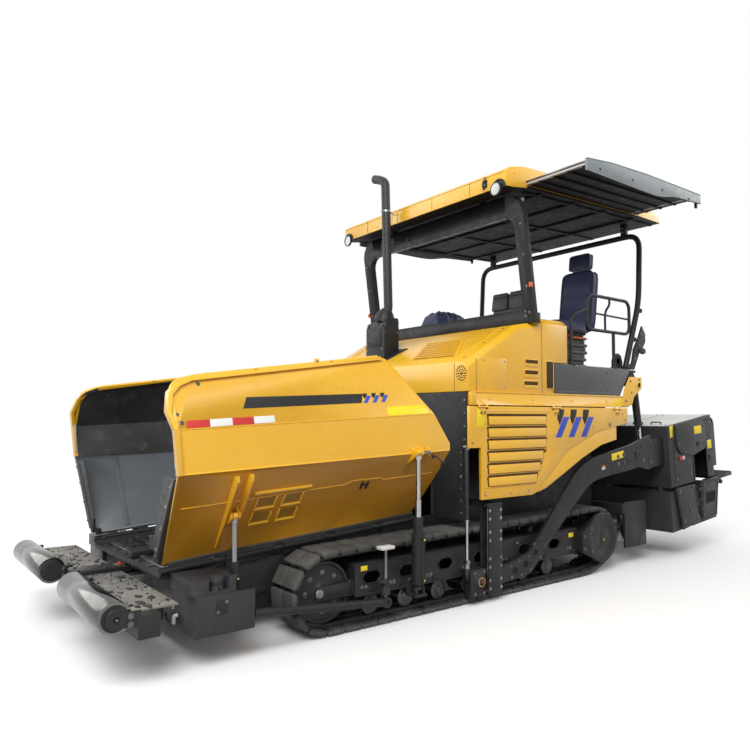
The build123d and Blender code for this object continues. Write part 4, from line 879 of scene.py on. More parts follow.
def hopper_bed():
    refined("hopper_floor", BLACK, 2)
    refined("front_wall", BLACK, 2.5)
    piece = Piece()
    for i in range(12):
        y = -3055 + i * 190
        piece.block(STEEL, (90, y - 22, hinge_z(y) - 41), (690, y + 22, hinge_z(y) - 21), 4, FLOOR_TILT)
        for x in (130, 650):
            piece.bolt((x, y, hinge_z(y) - 21), UP, 8)
    for x in (150, 390, 630):
        for i in range(38):
            y = -3120 + i * 60
            piece.block(BOLT, (x - 13, y, hinge_z(y) - 42), (x + 13, y + 46, hinge_z(y) - 30), 4, FLOOR_TILT)
    piece.done("conveyor", "chassis", "worn_steel", ("conveyor_slats",), True)
    piece = Piece()
    for x in (-60, 60):
        piece.strip(WORN, [(x, y, hinge_z(y) + 80) for y in (-2960, -806)], 16, 4, UP, 1.5)
    for i in range(14):
        y = -2900 + i * 150
        piece.bolts([(-30, y, hinge_z(y) + 80), (30, y, hinge_z(y) + 80)], UP, 9)
    piece.block(BLACK, (-56, -3120, 520), (56, -2975, 566), 5)
    piece.done("guide_rail", "chassis", "worn_steel")
    piece = Piece()
    for y in (-3100, -2700, -2300, -1900, -1500, -1150):
        piece.bolts([(752, y, hinge_z(y) - 3)], UP, 8)
    # bolts of the black wall
    for z in (760, 860, 960, 1060, 1160, 1260):
        piece.bolts([(1120, -801, z)], FRONT, 8)
    for z in (1370, 1480, 1590, 1700):
        piece.bolts([(1164, -801, z)], FRONT, 8)
    piece.done("wall_fittings", "chassis", "black_paint", (), True)


CYLINDERS = {
    "rear": dict(y=REAR_CYLINDER_Y, foot=(1184.0, 238.0), eye=(1272.0, 1290.0), long=560.0, r=52.0, neck=38.0,
                 rod=24.0, thin=18.0, start=507.0, half=20.0, mat=CHROME),
    "front": dict(y=FRONT_CYLINDER_Y, foot=(985.0, 262.0), eye=(1060.0, 912.0), long=350.0, r=34.0, neck=30.0,
                  rod=15.0, thin=15.0, start=316.0, half=14.0, mat=GREY),
}


def wing_cylinder(name, y, foot, eye, long, r, neck, rod, thin, start, half, mat):
    """Barrel and rod between foot and eye, given as (x, z); half is half of each eye's width."""
    lean = Matrix.Translation((0, y, foot[1])) @ Matrix.Rotation(math.atan(HINGE_SLOPE), 4, "X")
    lean = lean @ Matrix.Translation((0, -y, -foot[1]))
    a, b = Vector((foot[0], y, foot[1])), Vector((eye[0], y, eye[1]))
    length = (b - a).length
    along = (b - a).normalized()
    piece = Piece()
    piece.frame = lean
    shoulder = long * 0.77
    profile = [(14, half), (34, half), (38, r - 8), (42, r)]
    for groove in (60, shoulder - 34):
        profile += [(groove, r), (groove + 1, r - 3), (groove + 6, r - 3), (groove + 7, r)]
    profile += [(shoulder - 4, r), (shoulder, neck + 2), (shoulder + 2, neck), (long - 8, neck),
                (long - 2, neck - 3), (long, rod + 5), (long, rod + 1.5), (52, rod + 1.5)]
    piece.lathe(BLACK, a, along, profile, 40)
    piece.lathe(BLACK, a - REAR * half, REAR, [(0, 13), (0, 24), (2 * half, 24), (2 * half, 13)], 28)
    out = Vector((along.z, 0, -along.x))
    for distance in (78, long * 0.7):
        p = a + along * distance + out * (r - 2)
        piece.cylinder(BLACK, p, p + out * 20, 12, 16)
        piece.cylinder(BRASS, p + out * 18, p + out * 30, 9, 6)
    bends = ((78, 22), (120, 24), (long * 0.62, 24), (long * 0.7, 24))
    piece.tube(BLACK, [a + along * up + out * (r + gap) for up, gap in bends], 5.5, 12, 10)
    node = f"wing_barrel_{name}_left"
    piece.done(f"cylinder_barrel_{name}", node, "black_paint", (node,), True)
    piece = Piece()
    piece.frame = lean
    profile = [(start, rod - 2), (start + 2, rod), (start + 190, rod), (start + 193, thin),
               (length - 50, thin), (length - 48, rod + 5), (length - 20, rod + 5), (length - 16, rod)]
    piece.lathe(mat, a, along, profile, 32)
    piece.lathe(YELLOW, b - REAR * half, REAR, [(0, 12), (0, 24), (2 * half, 24), (2 * half, 12)], 28)
    node = f"wing_rod_{name}_left"
    piece.done(f"cylinder_rod_{name}", node, "chrome_rod", (node,), True)


def wing_cylinders():
    for name, sizes in CYLINDERS.items():
        wing_cylinder(name, **sizes)
    piece = Piece()
    y = REAR_CYLINDER_Y
    piece.bolts(side_on(1128, (y - 40, 300), (y + 40, 300)), OUT, 10)
    piece.lathe(STEEL, (1184, y - 46, 238), REAR, [(0, 20), (8, 20), (10, 14)], 20)
    piece.block(BLACK, (1148, y - 58, 176), (1220, y + 58, 186), 3)
    piece.done("cylinder_foot", "chassis", "black_paint", (), True)


# ---------------------------------------------------------------- body
DECK_Z = 2066                       # the platform's floor


def side_doors():
    for side in ("left", "right"):
        refined(f"side_door_{side}", YELLOW, 3)
    piece = Piece()
    x = BODY_X - 2
    # louvres: behind each blade a dark plate of painted shadow, which shows as the dark line above the blade
    for i in range(6):
        z1 = 1582 - i * 104
        rear = 186 - max(0, i - 2) * 44
        piece.plate(SHADE, side_on(x, (-584, z1 + 4), (rear + 6, z1 + 4), (rear - 10, z1 - 90),
                                   (-584, z1 - 90)), 1.5, OUT, 0)
        blade = [(x + 1, -574, z1 - 14), (x + 1, rear - 8, z1 - 14), (x + 9, rear - 26, z1 - 86),
                 (x + 9, -568, z1 - 86)]
        piece.plate(YELLOW, blade, 7, OUT, 5, 6)
    # raised frame round the louvre field
    field = closed([(-638, 1616), (-638, 990), (-610, 962), (20, 962), (70, 990), (236, 1180), (244, 1590),
                    (222, 1616)])
    piece.tube(YELLOW, side_on(x - 1, *field), 4, 24, 8)
    piece.sign(SIGN, x, (-708, -618), (1478, 1640))
    marks(piece, lambda y, z: Vector((x, y, z)), 316, 1372, 1.0, 1.0, 0.0, OUT)
    # turned edge under the door's arc, with the band below it
    band = [(60, 930), (488, 1262), (942, 1430), (1299, 1484), (1299, 1331), (1035, 1290), (734, 1171),
            (451, 1037), (183, 912), (70, 884)]
    piece.plate(YELLOW, side_on(1192, *band), 18, OUT, 4, 0)
    arc = [(-17, 868), (53, 890), (69, 920), (488, 1249), (942, 1417), (1490, 1505)]
    for (y0, z0), (y1, z1) in zip(arc, arc[1:]):
        piece.tube(YELLOW, side_on(x - 8, (y0, z0 + 3), (y1, z1 + 3)), 7, 0, 10)
    piece.tube(YELLOW, side_on(x - 6, (-656, 871), (-17, 871)), 6, 0, 10)
    piece.tube(YELLOW, side_on(x - 6, (-653, 868), (-653, 1300)), 6, 0, 10)
    for y, z in ((-610, 905), (-60, 905), (-760, 1345), (1450, 1535)):
        piece.bolt((x, y, z), OUT, 7, STEEL)
    for y, z in ((-615, 930), (-300, 900), (300, 1400), (900, 1470), (1400, 1600)):
        piece.lathe(STEEL, (x, y, z), OUT, SCREW, 14)
    piece.lathe(STEEL, (x, 1180, 1490), OUT, [(0, 24), (3, 24), (4, 14), (8, 13), (9, 6)], 24)
    piece.block(STEEL, (x + 6, 1168, 1486), (x + 11, 1192, 1494), 1)
    for y in (-640, 330, 1300):
        piece.plate(YELLOW, side_on(x, (y - 34, 1585), (y - 34, 1640), (y + 34, 1640),
                                    (y + 34, 1585)), 6, OUT, 2)
        piece.bolts(side_on(x + 6, (y - 20, 1600), (y + 20, 1600)), OUT, 6)
    piece.done("door_fittings", "side_door_left", "yellow_paint", (), True)

    refined("side_rails", YELLOW, 4)
    piece = Piece()
    x = BODY_X
    piece.block(YELLOW, (x - 2, -776, 1768), (x + 5, 1496, 1782), 3)
    piece.block(YELLOW, (x - 2, -776, 1663), (x + 4, -722, 1776), 2)
    for y in (-560, 0, 560, 1120):
        piece.bolts([(x, y, 1720)], OUT, 6, YELLOW)
    # corner bracket at the rear with its hook and blank signs
    bracket = [(1384, 1676), (1424, 1843), (1523, 1985), (1745, 1988), (1745, 1869), (1596, 1779),
               (1570, 1700), (1493, 1670)]
    piece.plate(YELLOW, side_on(x, *bracket), 9, OUT, 3)
    piece.bolts(side_on(x + 9, (1450, 1730), (1540, 1940), (1556, 1820), (1700, 1960)), OUT, 7)
    piece.lathe(GRILLE, (x + 8, 1690, 1904), OUT, [(0, 26), (2, 26)], 20)
    piece.lathe(YELLOW, (x + 8, 1690, 1904), OUT, [(0, 34), (6, 34), (8, 30), (8, 26), (2, 25)], 24)
    piece.sign(SIGN, x, (1262, 1372), (1676, 1752))
    piece.done("rail_fittings", "chassis", "yellow_paint", (), True)


SLOPE_OUT = Vector((0, -0.513, 0.858))


def slope_z(y):
    """Height of the hood's front slope at y."""
    return 2032 + (y + 790) * (2391 - 2032) / 600


def on_slope(x, y):
    return Vector((x, y, slope_z(y)))


def hood():
    refined("hood", YELLOW, 4)
    piece = Piece()
    x = BODY_X - 20
    front = -790
    vent_x, vent_z = 1116, 1931
    # slots in the side, each filled with a dark plate of painted shade
    for y0, y1, z0, z1 in ((-72, 96, 2027, 2083), (-80, 95, 1926, 1986), (-92, 93, 1828, 1886)):
        piece.plate(SHADE, side_on(x, (y0, z0), (y0 - 8, z1), (y1, z1), (y1, z0)), 2, OUT, 0)
        rim = closed(side_on(x + 1, (y0 - 3, z0 - 3), (y0 - 11, z1 + 3), (y1 + 3, z1 + 3), (y1 + 3, z0 - 3)))
        piece.tube(YELLOW, rim, 5, 12, 8)
        piece.block(YELLOW, (x - 2, y0 + 4, z0 + 2), (x + 4, y1 - 4, z0 + (z1 - z0) * 0.4), 2)
    # the grille beside them: a dark plate of painted shade behind dark bars
    piece.plate(SHADE, side_on(x, (212, 1828), (212, 2079), (312, 2079), (312, 1828)), 2, OUT, 0)
    piece.tube(YELLOW, closed(side_on(x + 1, (208, 1824), (208, 2083), (316, 2083), (316, 1824))), 5, 14, 8)
    for k in range(5):
        piece.block(DARK, (x - 1, 220 + k * 20, 1834), (x + 5, 226 + k * 20, 2074), 1)
    # access panel with four screws, split line and vent
    corners = [(-631, 1805), (-631, 2072), (-331, 2072), (-331, 1805)]
    piece.plate(YELLOW, side_on(x, *corners), 1.6, OUT, 0.6)
    for a, b in ((-610, 1826), (-610, 2050), (-352, 2050), (-352, 1826)):
        piece.lathe(STEEL, (x + 1, a, b), OUT, SCREW, 14)
    piece.block(GRILLE, (x - 1, -700, 1782), (x + 1.5, -696, 2060), 0.5)
    piece.block(GRILLE, (x - 1, 150, 1782), (x + 1.5, 154, 2440), 0.5)
    for r, count in ((58, 16), (36, 10), (14, 4)):
        for a, b in ring(r, count):
            piece.lathe(GRILLE, (vent_x + a, front, vent_z + b), FRONT, [(0, 7), (2, 7)], 10)
    piece.lathe(GRILLE, (vent_x, front, vent_z), FRONT, [(0, 5), (2, 5)], 10)
    piece.block(GRILLE, (1026, front - 2, 1786), (1030, front + 1, 2024), 0.5)
    piece.tube(YELLOW, [(vent_x + a, front - 1, vent_z + b) for a, b in closed(ring(74, 24))], 3, 0, 8)
    # louvre field and seam on the slope; the dark strip under each blade is painted shade in its gap
    field = [on_slope(x, y) for x, y in ((960, -700), (700, -340), (150, -330), (330, -690))]
    a, b, c, d = field
    piece.plate(YELLOW, field, 5, SLOPE_OUT, 2)
    for k in range(9):
        t = 0.08 + k * 0.1
        p, q = a.lerp(b, t), d.lerp(c, t)
        p, q = p.lerp(q, 0.04), q.lerp(p, 0.04)
        blade = [p + SLOPE_OUT * 5, q + SLOPE_OUT * 5]
        piece.strip(YELLOW, blade, 16, 9, SLOPE_OUT, 3)
        piece.strip(GRILLE, [end + Vector((0, -16, -9)) for end in blade], 8, 1.5, SLOPE_OUT, 0)
    piece.strip(YELLOW, [on_slope(1012, -770), on_slope(1012, -200)], 12, 5, SLOPE_OUT, 2)
    for y in (-720, -480, -240):
        piece.lathe(STEEL, on_slope(1080, y), SLOPE_OUT, [(0, 9), (3, 9), (4, 6)], 14)
    # rear tab on top, and the grille and frame of the front face
    piece.block(YELLOW, (1060, 114, 2466), (1160, 502, 2484), 4)
    piece.bolts(side_on(1110, (187, 2484), (430, 2484)), UP, 11)
    for k in range(7):
        piece.block(GRILLE, (-220, front - 2, 1826 + k * 26), (220, front + 1, 1836 + k * 26), 1)
    grille = closed(((-240, 1812), (-240, 2004), (240, 2004), (240, 1812)))
    piece.tube(YELLOW, [(a, front - 1, b) for a, b in grille], 5, 20, 8)
    piece.done("hood_fittings", "chassis", "yellow_paint")
    piece.beyond(900).done("hood_fittings_far", "chassis", "yellow_paint")


def tread(piece, x, y, z, wide, long, turned):
    """One raised bar of a tread plate."""
    piece.block(STEEL, (x, y, z), (x + wide, y + long, 2073), 1.5, ("Z", 45 if turned else -45))


def side_boxes():
    refined("side_boxes", CHARCOAL, 5)
    piece = Piece()
    x = BODY_X - 4
    for y in (380, 1150):
        piece.bolts(side_on(x, (y, 1840), (y, 2010)), OUT, 6, CHARCOAL)
    piece.weld(side_on(x, (360, 1806), (1180, 1806)), 3, CHARCOAL)
    piece.strip(STEEL, side_on(1075, (345, DECK_Z), (1540, DECK_Z)), 240, 3, UP, 1)
    for i in range(26):
        for k in range(5):
            tread(piece, 985 + k * 44, 380 + i * 44 + (k % 2) * 22, 2068, 30, 10, k % 2)
    # towing lug on top
    lug = [(1330, DECK_Z), (1500, DECK_Z), (1500, 2150), (1470, 2214), (1420, 2232),
           (1360, 2212), (1330, 2150)]
    piece.plate(BLACK, side_on(1140, *lug), 22, OUT, 3, 0)
    piece.lathe(GRILLE, (1161, 1415, 2150), OUT, [(0, 30), (2, 30)], 24)
    piece.lathe(BLACK, (1161, 1415, 2150), OUT, [(0, 40), (5, 40), (7, 36), (7, 31), (2, 29)], 28)
    piece.block(BLACK, (1110, 1320, 2064), (1196, 1510, 2076), 3)
    piece.done("box_fittings", "chassis", "dark_grey_paint", (), True)


# ---------------------------------------------------------------- operator's station
def cushion_form(lo, hi, channels=0):
    """Crowned closed cushion with waisted sides and sewn channels."""
    lo, hi = Vector(lo), Vector(hi)
    size, mid = hi - lo, (hi + lo) / 2
    bm = bmesh.new()
    bmesh.ops.create_cube(bm, size=2.0)
    bmesh.ops.subdivide_edges(bm, edges=bm.edges[:], cuts=15, use_grid_fill=True)
    flat, full, groove = 0.72, 0.28, 0.09
    for v in bm.verts:
        x, y, z = v.co
        edge = max(abs(x), abs(y))
        round_xy = (1 - 0.10 * abs(x) ** 6 * abs(y) ** 6)
        bulge = 1 - (abs(x) ** 4 + abs(y) ** 4 - abs(x) ** 4 * abs(y) ** 4)
        waist = 1 - 0.035 * (1 - z * z) * (1 - min(1, 0.6 * abs(abs(x) - abs(y))))
        up = z
        if abs(z) > 0.99:
            up = z * (flat + full * bulge)
            if channels and z > 0 and edge < 0.86:
                phase = (y * channels) % 1.0
                up -= 0.10 * math.exp(-((phase - 0.5) / groove) ** 2)
        else:
            up = z * flat
        v.co = Vector((x * round_xy * waist * size.x / 2, y * round_xy * waist * size.y / 2, up * size.z / 2))
    piece = Piece()
    bmesh.ops.translate(bm, verts=bm.verts, vec=mid)
    piece.add_bmesh(VINYL, bm)
    return piece


SEATS = {"near": 850, "far": -900}


def seats():
    y, z, half = 560, 2425, 213         # edge and underside of the cushions, and half their width
    cover_z, cover_tall, taper = z + 142, 278, 0.34
    for label, x in SEATS.items():
        cushion = cushion_form((x - half, y + 4, z + 4), (x + half, y + 510, z + 118), 2)
        corners = closed(((-200, 14), (200, 14), (200, 494), (-200, 494)))
        seam = [(x + a, y + b, z + 92) for a, b in corners]
        cushion.tube(BLACK, seam, 4, 46, 8)
        cushion.block(PLASTIC, (x - 205, y + 20, z), (x + 205, y + 500, z + 20), 6)
        if label == "near":
            cushion.block(PLASTIC, (x - 60, y + 566, z + 60), (x + 60, y + 612, z + 120), 8)
        obj = cushion.done(f"seat_cushion_{label}", "chassis", "seat_vinyl")[0]
        if label == "far":
            back = cushion_form((x - half, y - 14, cover_z), (x + half, y + 524, cover_z + cover_tall), 2)
            back.block(PLASTIC, (x - 150, y + 440, z + 116), (x + 150, y + 500, z + 150), 10)
            # the cover over the folded back is drawn in towards its top and crumpled
            for p in back.points:
                up = max(0.0, (p.z - cover_z) / cover_tall)
                narrow = 1 - taper * up * up
                p.x = x + (p.x - x) * narrow
                p.y = y + 255 + (p.y - y - 255) * narrow
                fold = 9 * math.sin(p.x * 0.045) * math.cos(p.y * 0.04)
                fold += 7 * math.sin(p.y * 0.085 + p.x * 0.03)
                p.z += up * (fold - 46 * ((p.x - x) / half) ** 2)
                p.x += up * fold * 0.6
            obj = back.done("seat_back_far", "chassis", "seat_vinyl")[0]
            continue
        lean = Matrix.Translation((x, y + 560, z + 20)) @ turn(-7.2)
        back = cushion_form((-212, -330, -50), (212, 330, 56), 2)
        upright = lean @ Matrix.Translation((0, 10, 340)) @ turn(90)
        back.points = [upright @ p for p in back.points]
        back.frame = lean
        seam = closed([(-196, -40, 30), (-196, -40, 655), (196, -40, 655), (196, -40, 30)])
        back.tube(BLACK, seam, 4, 60, 8)
        back.block(PLASTIC, (-190, 52, 40), (190, 66, 640), 10)
        for s in SIDES:
            back.cylinder(CHROME, (s * 45, 30, 660), (s * 45, 34, 720), 7, 12)
        obj = back.done("seat_back_near", "chassis", "seat_vinyl")[0]
        head = cushion_form((-136, -88, -38), (136, 88, 40))
        upright = Matrix.Translation((x, y + 665, z + 790)) @ turn(84)
        head.points = [upright @ p for p in head.points]
        obj = head.done("seat_head_near", "chassis", "seat_vinyl")[0]
        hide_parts("seats")
    piece = Piece()
    for x in SEATS.values():
        for k in range(9):
            h = 2100 + k * 36
            inset = 0 if k % 2 else 14
            flare = 34 - abs(k - 4) * 8
            piece.block(RUBBER, (x - 176 + inset, y + 134 + inset - flare, h),
                        (x + 176 - inset, y + 496 - inset + flare, h + 34), 14)
        piece.block(BLACK, (x - 180, y + 130, DECK_Z), (x + 180, y + 500, 2098), 6)
        piece.block(BLACK, (x - 178, y + 132, 2404), (x + 178, y + 498, 2426), 6)
        s = 1 if x > 0 else -1
        piece.tube(ORANGE, [(x + s * 170, y + 300, 2372), (x + s * 205, y + 360, 2366),
                            (x + s * 208, y + 470, 2362)], 8, 20, 10)
        piece.cylinder(RED, (x + s * 176, y + 210, 2380), (x + s * 196, y + 210, 2380), 15, 18)
        piece.lathe(PLASTIC, (x + s * 176, y + 180, 2180), OUT * s, [(0, 30), (12, 30), (18, 22)], 24)
    piece.done("seat_pedestals", "chassis", "black_paint", ("seat_bases",))


def controls():
    piece = Piece()
    # console pods on their pillar
    for x0, x1, tip in ((126, 350, -8), (376, 612, -4)):
        piece.block(PLASTIC, (x0, 594, 2700), (x1, 752, 2846), 16, ("X", tip))
        piece.block(PLASTIC, (x0 + 8, 600, 2828), (x1 - 8, 752, 2878), 12, ("X", -18))
        piece.block(GRILLE, (x0 + 22, 742, 2740), (x1 - 22, 756, 2830), 6, ("X", tip))
        for k in range(4):
            piece.cylinder((RED, ORANGE, WHITE, GREY)[k], (x0 + 44 + k * 40, 748, 2716),
                           (x0 + 44 + k * 40, 760, 2716), 9, 14)
    piece.block(PLASTIC, (140, 600, 2662), (600, 750, 2712), 12)
    piece.lathe(RED, (580, 596, 2800), FRONT, [(0, 16), (6, 16), (9, 10)], 16)
    for x in (180, 300, 450, 560):
        piece.tube(BLACK, side_on(x, (716, 2700), (740, 2712), (754, 2740)), 5, 8, 10)
        piece.lathe(PLASTIC, (x, 752, 2736), (0, 8, 24), [(0, 7), (6, 13), (16, 13), (20, 7)], 16)
    piece.tube(BLACK, side_on(370, (680, 2070), (680, 2670)), 34, 0, 24)
    piece.block(BLACK, (330, 640, DECK_Z), (410, 720, 2080), 4)
    piece.lathe(RUBBER, (370, 680, 2560), UP, [(0, 36), (10, 46), (20, 37), (30, 47), (40, 38), (50, 48),
                                               (60, 39), (70, 49), (80, 40), (96, 52)], 28)
    piece.done("console_dressed", "chassis", "black_paint", ("console",))

    piece = Piece()
    # floor plate with its tread, and three strips at its rear edge
    piece.block(STEEL, (-900, 545, DECK_Z), (900, 1490, 2070), 1)
    for i in range(22):
        for k in range(11):
            tread(piece, -860 + k * 164 + (i % 2) * 82, 570 + i * 41, 2069, 44, 9, (i + k) % 2)
    for y in (1585, 1660, 1735):
        piece.strip(STEEL, [(-1120, y, DECK_Z), (1120, y, DECK_Z)], 30, 4, UP, 1.5)
    piece.done("deck_plate", "chassis", "worn_steel")
    refined("platform", BLACK, 3)
    refined("engine", DARK, 8)
    refined("main_frame", BLACK, 3)
    refined("track_frames", BLACK, 3)
    refined("guide_posts", BLACK, 3)

    piece = Piece()
    rail = BODY_X - 30
    low, high, front, rear = 2440, 2790, 850, 1590
    loop = closed(side_on(rail, (1200, high), (rear, high), (rear, low), (front, low), (front, high)))
    piece.tube(BLACK, loop, 17, 95, 16)
    piece.tube(BLACK, side_on(rail, (600, 2068), (600, 2560), (852, 2640)), 17, 90, 16)
    piece.tube(BLACK, side_on(rail, (1300, 2068), (1300, 2442)), 17, 0, 16)
    piece.tube(BLACK, side_on(rail, (1160, low + 10), (1160, 2640), (1240, 2720),
                              (1240, high - 8)), 12, 60, 14)
    piece.tube(BLACK, side_on(rail, (1000, 2610), (1560, 2600)), 10, 0, 12)
    for y in (600, 1300):
        piece.lathe(BLACK, (rail, y, DECK_Z), UP, [(0, 38), (8, 38), (10, 22), (22, 20)], 24)
        piece.bolts([(rail + 20, y + 20, 2074), (rail - 20, y - 20, 2074)], UP, 6)
    piece.done("guard_rail", "chassis", "black_paint", ("handrails",), True)


# ---------------------------------------------------------------- canopy
FRAME_LEAN = math.radians(8)
FRAME_OUT = (0, -1, -0.14)          # out of the front frame's leaning face
FASCIA_Y, ROOF_SIDE = -401, 1270    # the roof's front and side faces
EXTENSION_SIDE = 1980               # outer face of the left sliding roof
LAMP_Z = 3586


def roof_z(y):
    """Height of the roof's underside at y."""
    return 3643 + y * math.sin(math.radians(2))


def roof_face(centre, normal):
    """Dark steel under the roof, paint above."""
    low = centre.z < roof_z(centre.y) + 40
    return GRILLE if low and (normal.z < -0.6 or (abs(normal.x) > 0.6 and centre.y > -150)) else None


def under_face(centre, normal):
    """Dark steel on faces that look down."""
    return GRILLE if normal.z < -0.5 else None


def on_frame(x, up, depth=0.0):
    """Point on the front frame: up its lean from the foot, and depth in front of its rear face."""
    c, s = math.cos(FRAME_LEAN), math.sin(FRAME_LEAN)
    return Vector((x, 60 - up * s - depth * c, 2437 + up * c - depth * s))


def canopy():
    refined("canopy_roof", YELLOW, 5, roof_face)
    refined("canopy_front_frame", BLACK, 5)
    for side in ("left", "right"):
        refined(f"canopy_extension_{side}", PANEL, 3, under_face)
    piece = Piece()
    # seams, ribs and beams of the roof
    for x in (-820, -280, 280, 820):
        piece.block(GRILLE, (x - 1.5, -402, 3606), (x + 1.5, -399, 3733), 0.4)
        piece.strip(YELLOW, side_on(x, (-160, 3829), (60, 3843), (1850, 3839)), 60, 7, UP, 3)
    piece.tube(YELLOW, [(-1262, -399, 3735), (1262, -399, 3735)], 6, 0, 10)
    piece.tube(YELLOW, [(-1262, -397, 3607), (1262, -397, 3607)], 6, 0, 10)
    for y in (120, 620, 1120, 1620):
        z = roof_z(y)
        piece.block(GRILLE, (-1240, y - 25, z - 18), (1240, y + 25, z + 2), 4)
    for x in (-1180, -400, 400, 1180):
        y, z = -60, roof_z(-60)
        piece.block(GRILLE, (x - 20, y, z - 16), (x + 20, 2060, z - 6), 4, ("X", 2), (x, y, z))
    for s in SIDES:
        # arched recess behind each lamp and the slot's lips
        piece.tube(BLACK, [(s * 1190 + a, -402, 3590 + b) for a, b in ring(82, 24)[:13]], 9, 0, 10)
        piece.plate(BLACK, [(s * 1190 + a, FASCIA_Y, 3590 + b) for a, b in ring(78, 24)[:13]], 2, FRONT, 0)
        for lift in (25, 69):
            piece.strip(YELLOW, [(s * ROOF_SIDE, y, roof_z(y) + lift) for y in (-118, 1672)], 7,
                        4, (s, 0, 0), 1.5)
        piece.block(WHITE, (s * 1150 - 24, -70, 3560), (s * 1150 + 24, -40, 3590), 4)
        for y in (-280, 500, 1200, 1900):
            piece.bolts([(s * ROOF_SIDE, y, roof_z(y) + 110)], (s, 0, 0), 7, YELLOW)
    # hook and clamp on the fascia
    piece.block(BLACK, (1010, -416, 3640), (1050, -398, 3710), 5)
    piece.tube(BLACK, side_on(1030, (-412, 3700), (-436, 3690), (-438, 3640), (-416, 3622)), 8, 14, 12)
    piece.lathe(STEEL, (1014, -412, 3660), OUT, [(0, 7), (34, 7)], 12)
    piece.bolts([(1030, -416, 3724), (1000, FASCIA_Y, 3640)], FRONT, 8)
    for x in (-640, -100, 460):
        piece.bolts([(x, FASCIA_Y, 3640), (x + 90, FASCIA_Y, 3706)], FRONT, 6, YELLOW)
    piece.block(CREAM, (-14, 2092, 3720), (14, 2100, 3760), 3)
    piece.done("roof_fittings", "chassis", "yellow_paint")

    piece = Piece()
    y0, y1 = -180, 1665
    for y in (-96, 1560):
        z = roof_z(y) + 47
        piece.block(CREAM, (1100, y - 16, z - 16), (1975, y + 16, z - 2), 4)
        piece.block(STEEL, (1100, y - 11, z + 14), (1960, y + 11, z + 26), 3)
        piece.bolts([(1300, y, z - 16), (1700, y, z - 16)], -UP, 7)
    for x in (1400, 1560, 1720, 1880):
        start, z = y0 + 90, roof_z(y0 + 90)
        piece.block(GRILLE, (x - 12, start, z + 20), (x + 12, y1 - 20, z + 33), 3, ("X", 2), (x, start, z))
    top = [(y0, 3696), (y0 + 350, 3736), (y0 + 900, 3762), (y1, 3773)]
    bottom = [(y1, 3680), (y1 - 500, 3650), (y1 - 720, 3600), (y1 - 900, 3590), (y0, 3592)]
    piece.tube(PANEL, [(EXTENSION_SIDE - 2, y, z - 3) for y, z in top], 5, 60, 10)
    piece.tube(PANEL, [(EXTENSION_SIDE - 2, y, z + 3) for y, z in bottom], 5, 90, 10)
    for y in (0, 480, 960, 1440):
        piece.bolts([(EXTENSION_SIDE, y, 3640 + 0.03 * y)], OUT, 7, DARK)
    piece.block(BLACK, (1930, y1 - 40, 3640), (1952, y1 - 10, 3700), 4)
    piece.done("extension_fittings", "canopy_extension_left", "dark_grey_paint")
    far = Piece()
    far.points = [Vector((EXTENSION_SIDE - ROOF_SIDE - 26 - p.x, p.y, p.z)) for p in piece.points]
    far.faces, far.slots, far.mats = [face[::-1] for face in piece.faces], piece.slots, piece.mats
    far.done("extension_fittings_far", "canopy_extension_right", "dark_grey_paint")

    piece = Piece()
    y = FASCIA_Y
    for x in (-1175, 1175):
        piece.lathe(BLACK, (x, y, LAMP_Z), FRONT, [(0, 44), (6, 56), (22, 62), (30, 62), (31, 57),
                                                   (26, 55), (26, 20)], 40)
        piece.lathe(LENS, (x, y - 24, LAMP_Z), FRONT, [(0, 54), (4, 54), (7, 46), (8, 24)], 40)
        piece.block(BLACK, (x - 14, y - 6, 3626), (x + 14, y + 4, 3660), 3)
    piece.done("lamps", "chassis", "black_paint", ("work_lamps",))

    piece = Piece()
    for x in (-1206, 1206):
        for up in (90, 330, 620, 900):
            piece.bolt(on_frame(x, up, 70), FRAME_OUT, 8)
        piece.weld([on_frame(x * 0.985, 20, 71), on_frame(x * 0.985, 130, 71)], 4)
    for s in SIDES:
        for up in (60, 100):
            piece.bolt(on_frame(s * 1160, up, 70), FRAME_OUT, 9)
        piece.block(BLACK, (s * 1245 - 10, 5, 2424), (s * 1245 + 2, 85, 2520), 3)
    piece.plate(DARK, [on_frame(-880, 1030, 70), on_frame(-880, 1150, 70), on_frame(-640, 1150, 70),
                       on_frame(-640, 1030, 70)], 6, FRAME_OUT, 2)
    for s in SIDES:
        piece.block(ORANGE, (s * 1254 - 8, -75, 2740), (s * 1254 + 8, -35, 2786), 5)
        for z in (2560, 2960, 3270):
            x, y = s * 1150, on_frame(0, z - 2437).y
            piece.block(BLACK, (x - 10, y - 60, z), (x + 10, y - 10, z + 54), 4)
    a, b = on_frame(-420, 1080, 74), Vector((-330, -505, 3330))
    piece.tube(BLACK, [b, a.lerp(b, 0.5) + Vector((0, 0, 14)), a], 7, 60, 10)
    piece.bolt(on_frame(-420, 1080, 72), FRAME_OUT, 10)
    for s in SIDES:
        piece.block(BLACK, (s * 700 - 24, -128, 3560), (s * 700 + 24, -70, roof_z(-100) + 4), 4)
    piece.block(DARK, (-1100, 2, 2436), (1100, 64, 2450), 3)
    piece.lathe(BLACK, (-1180, -47, 2720), UP, [(0, 14), (30, 14), (32, 5), (222, 4), (224, 3)], 12)
    piece.done("frame_fittings_top", "chassis", "black_paint")

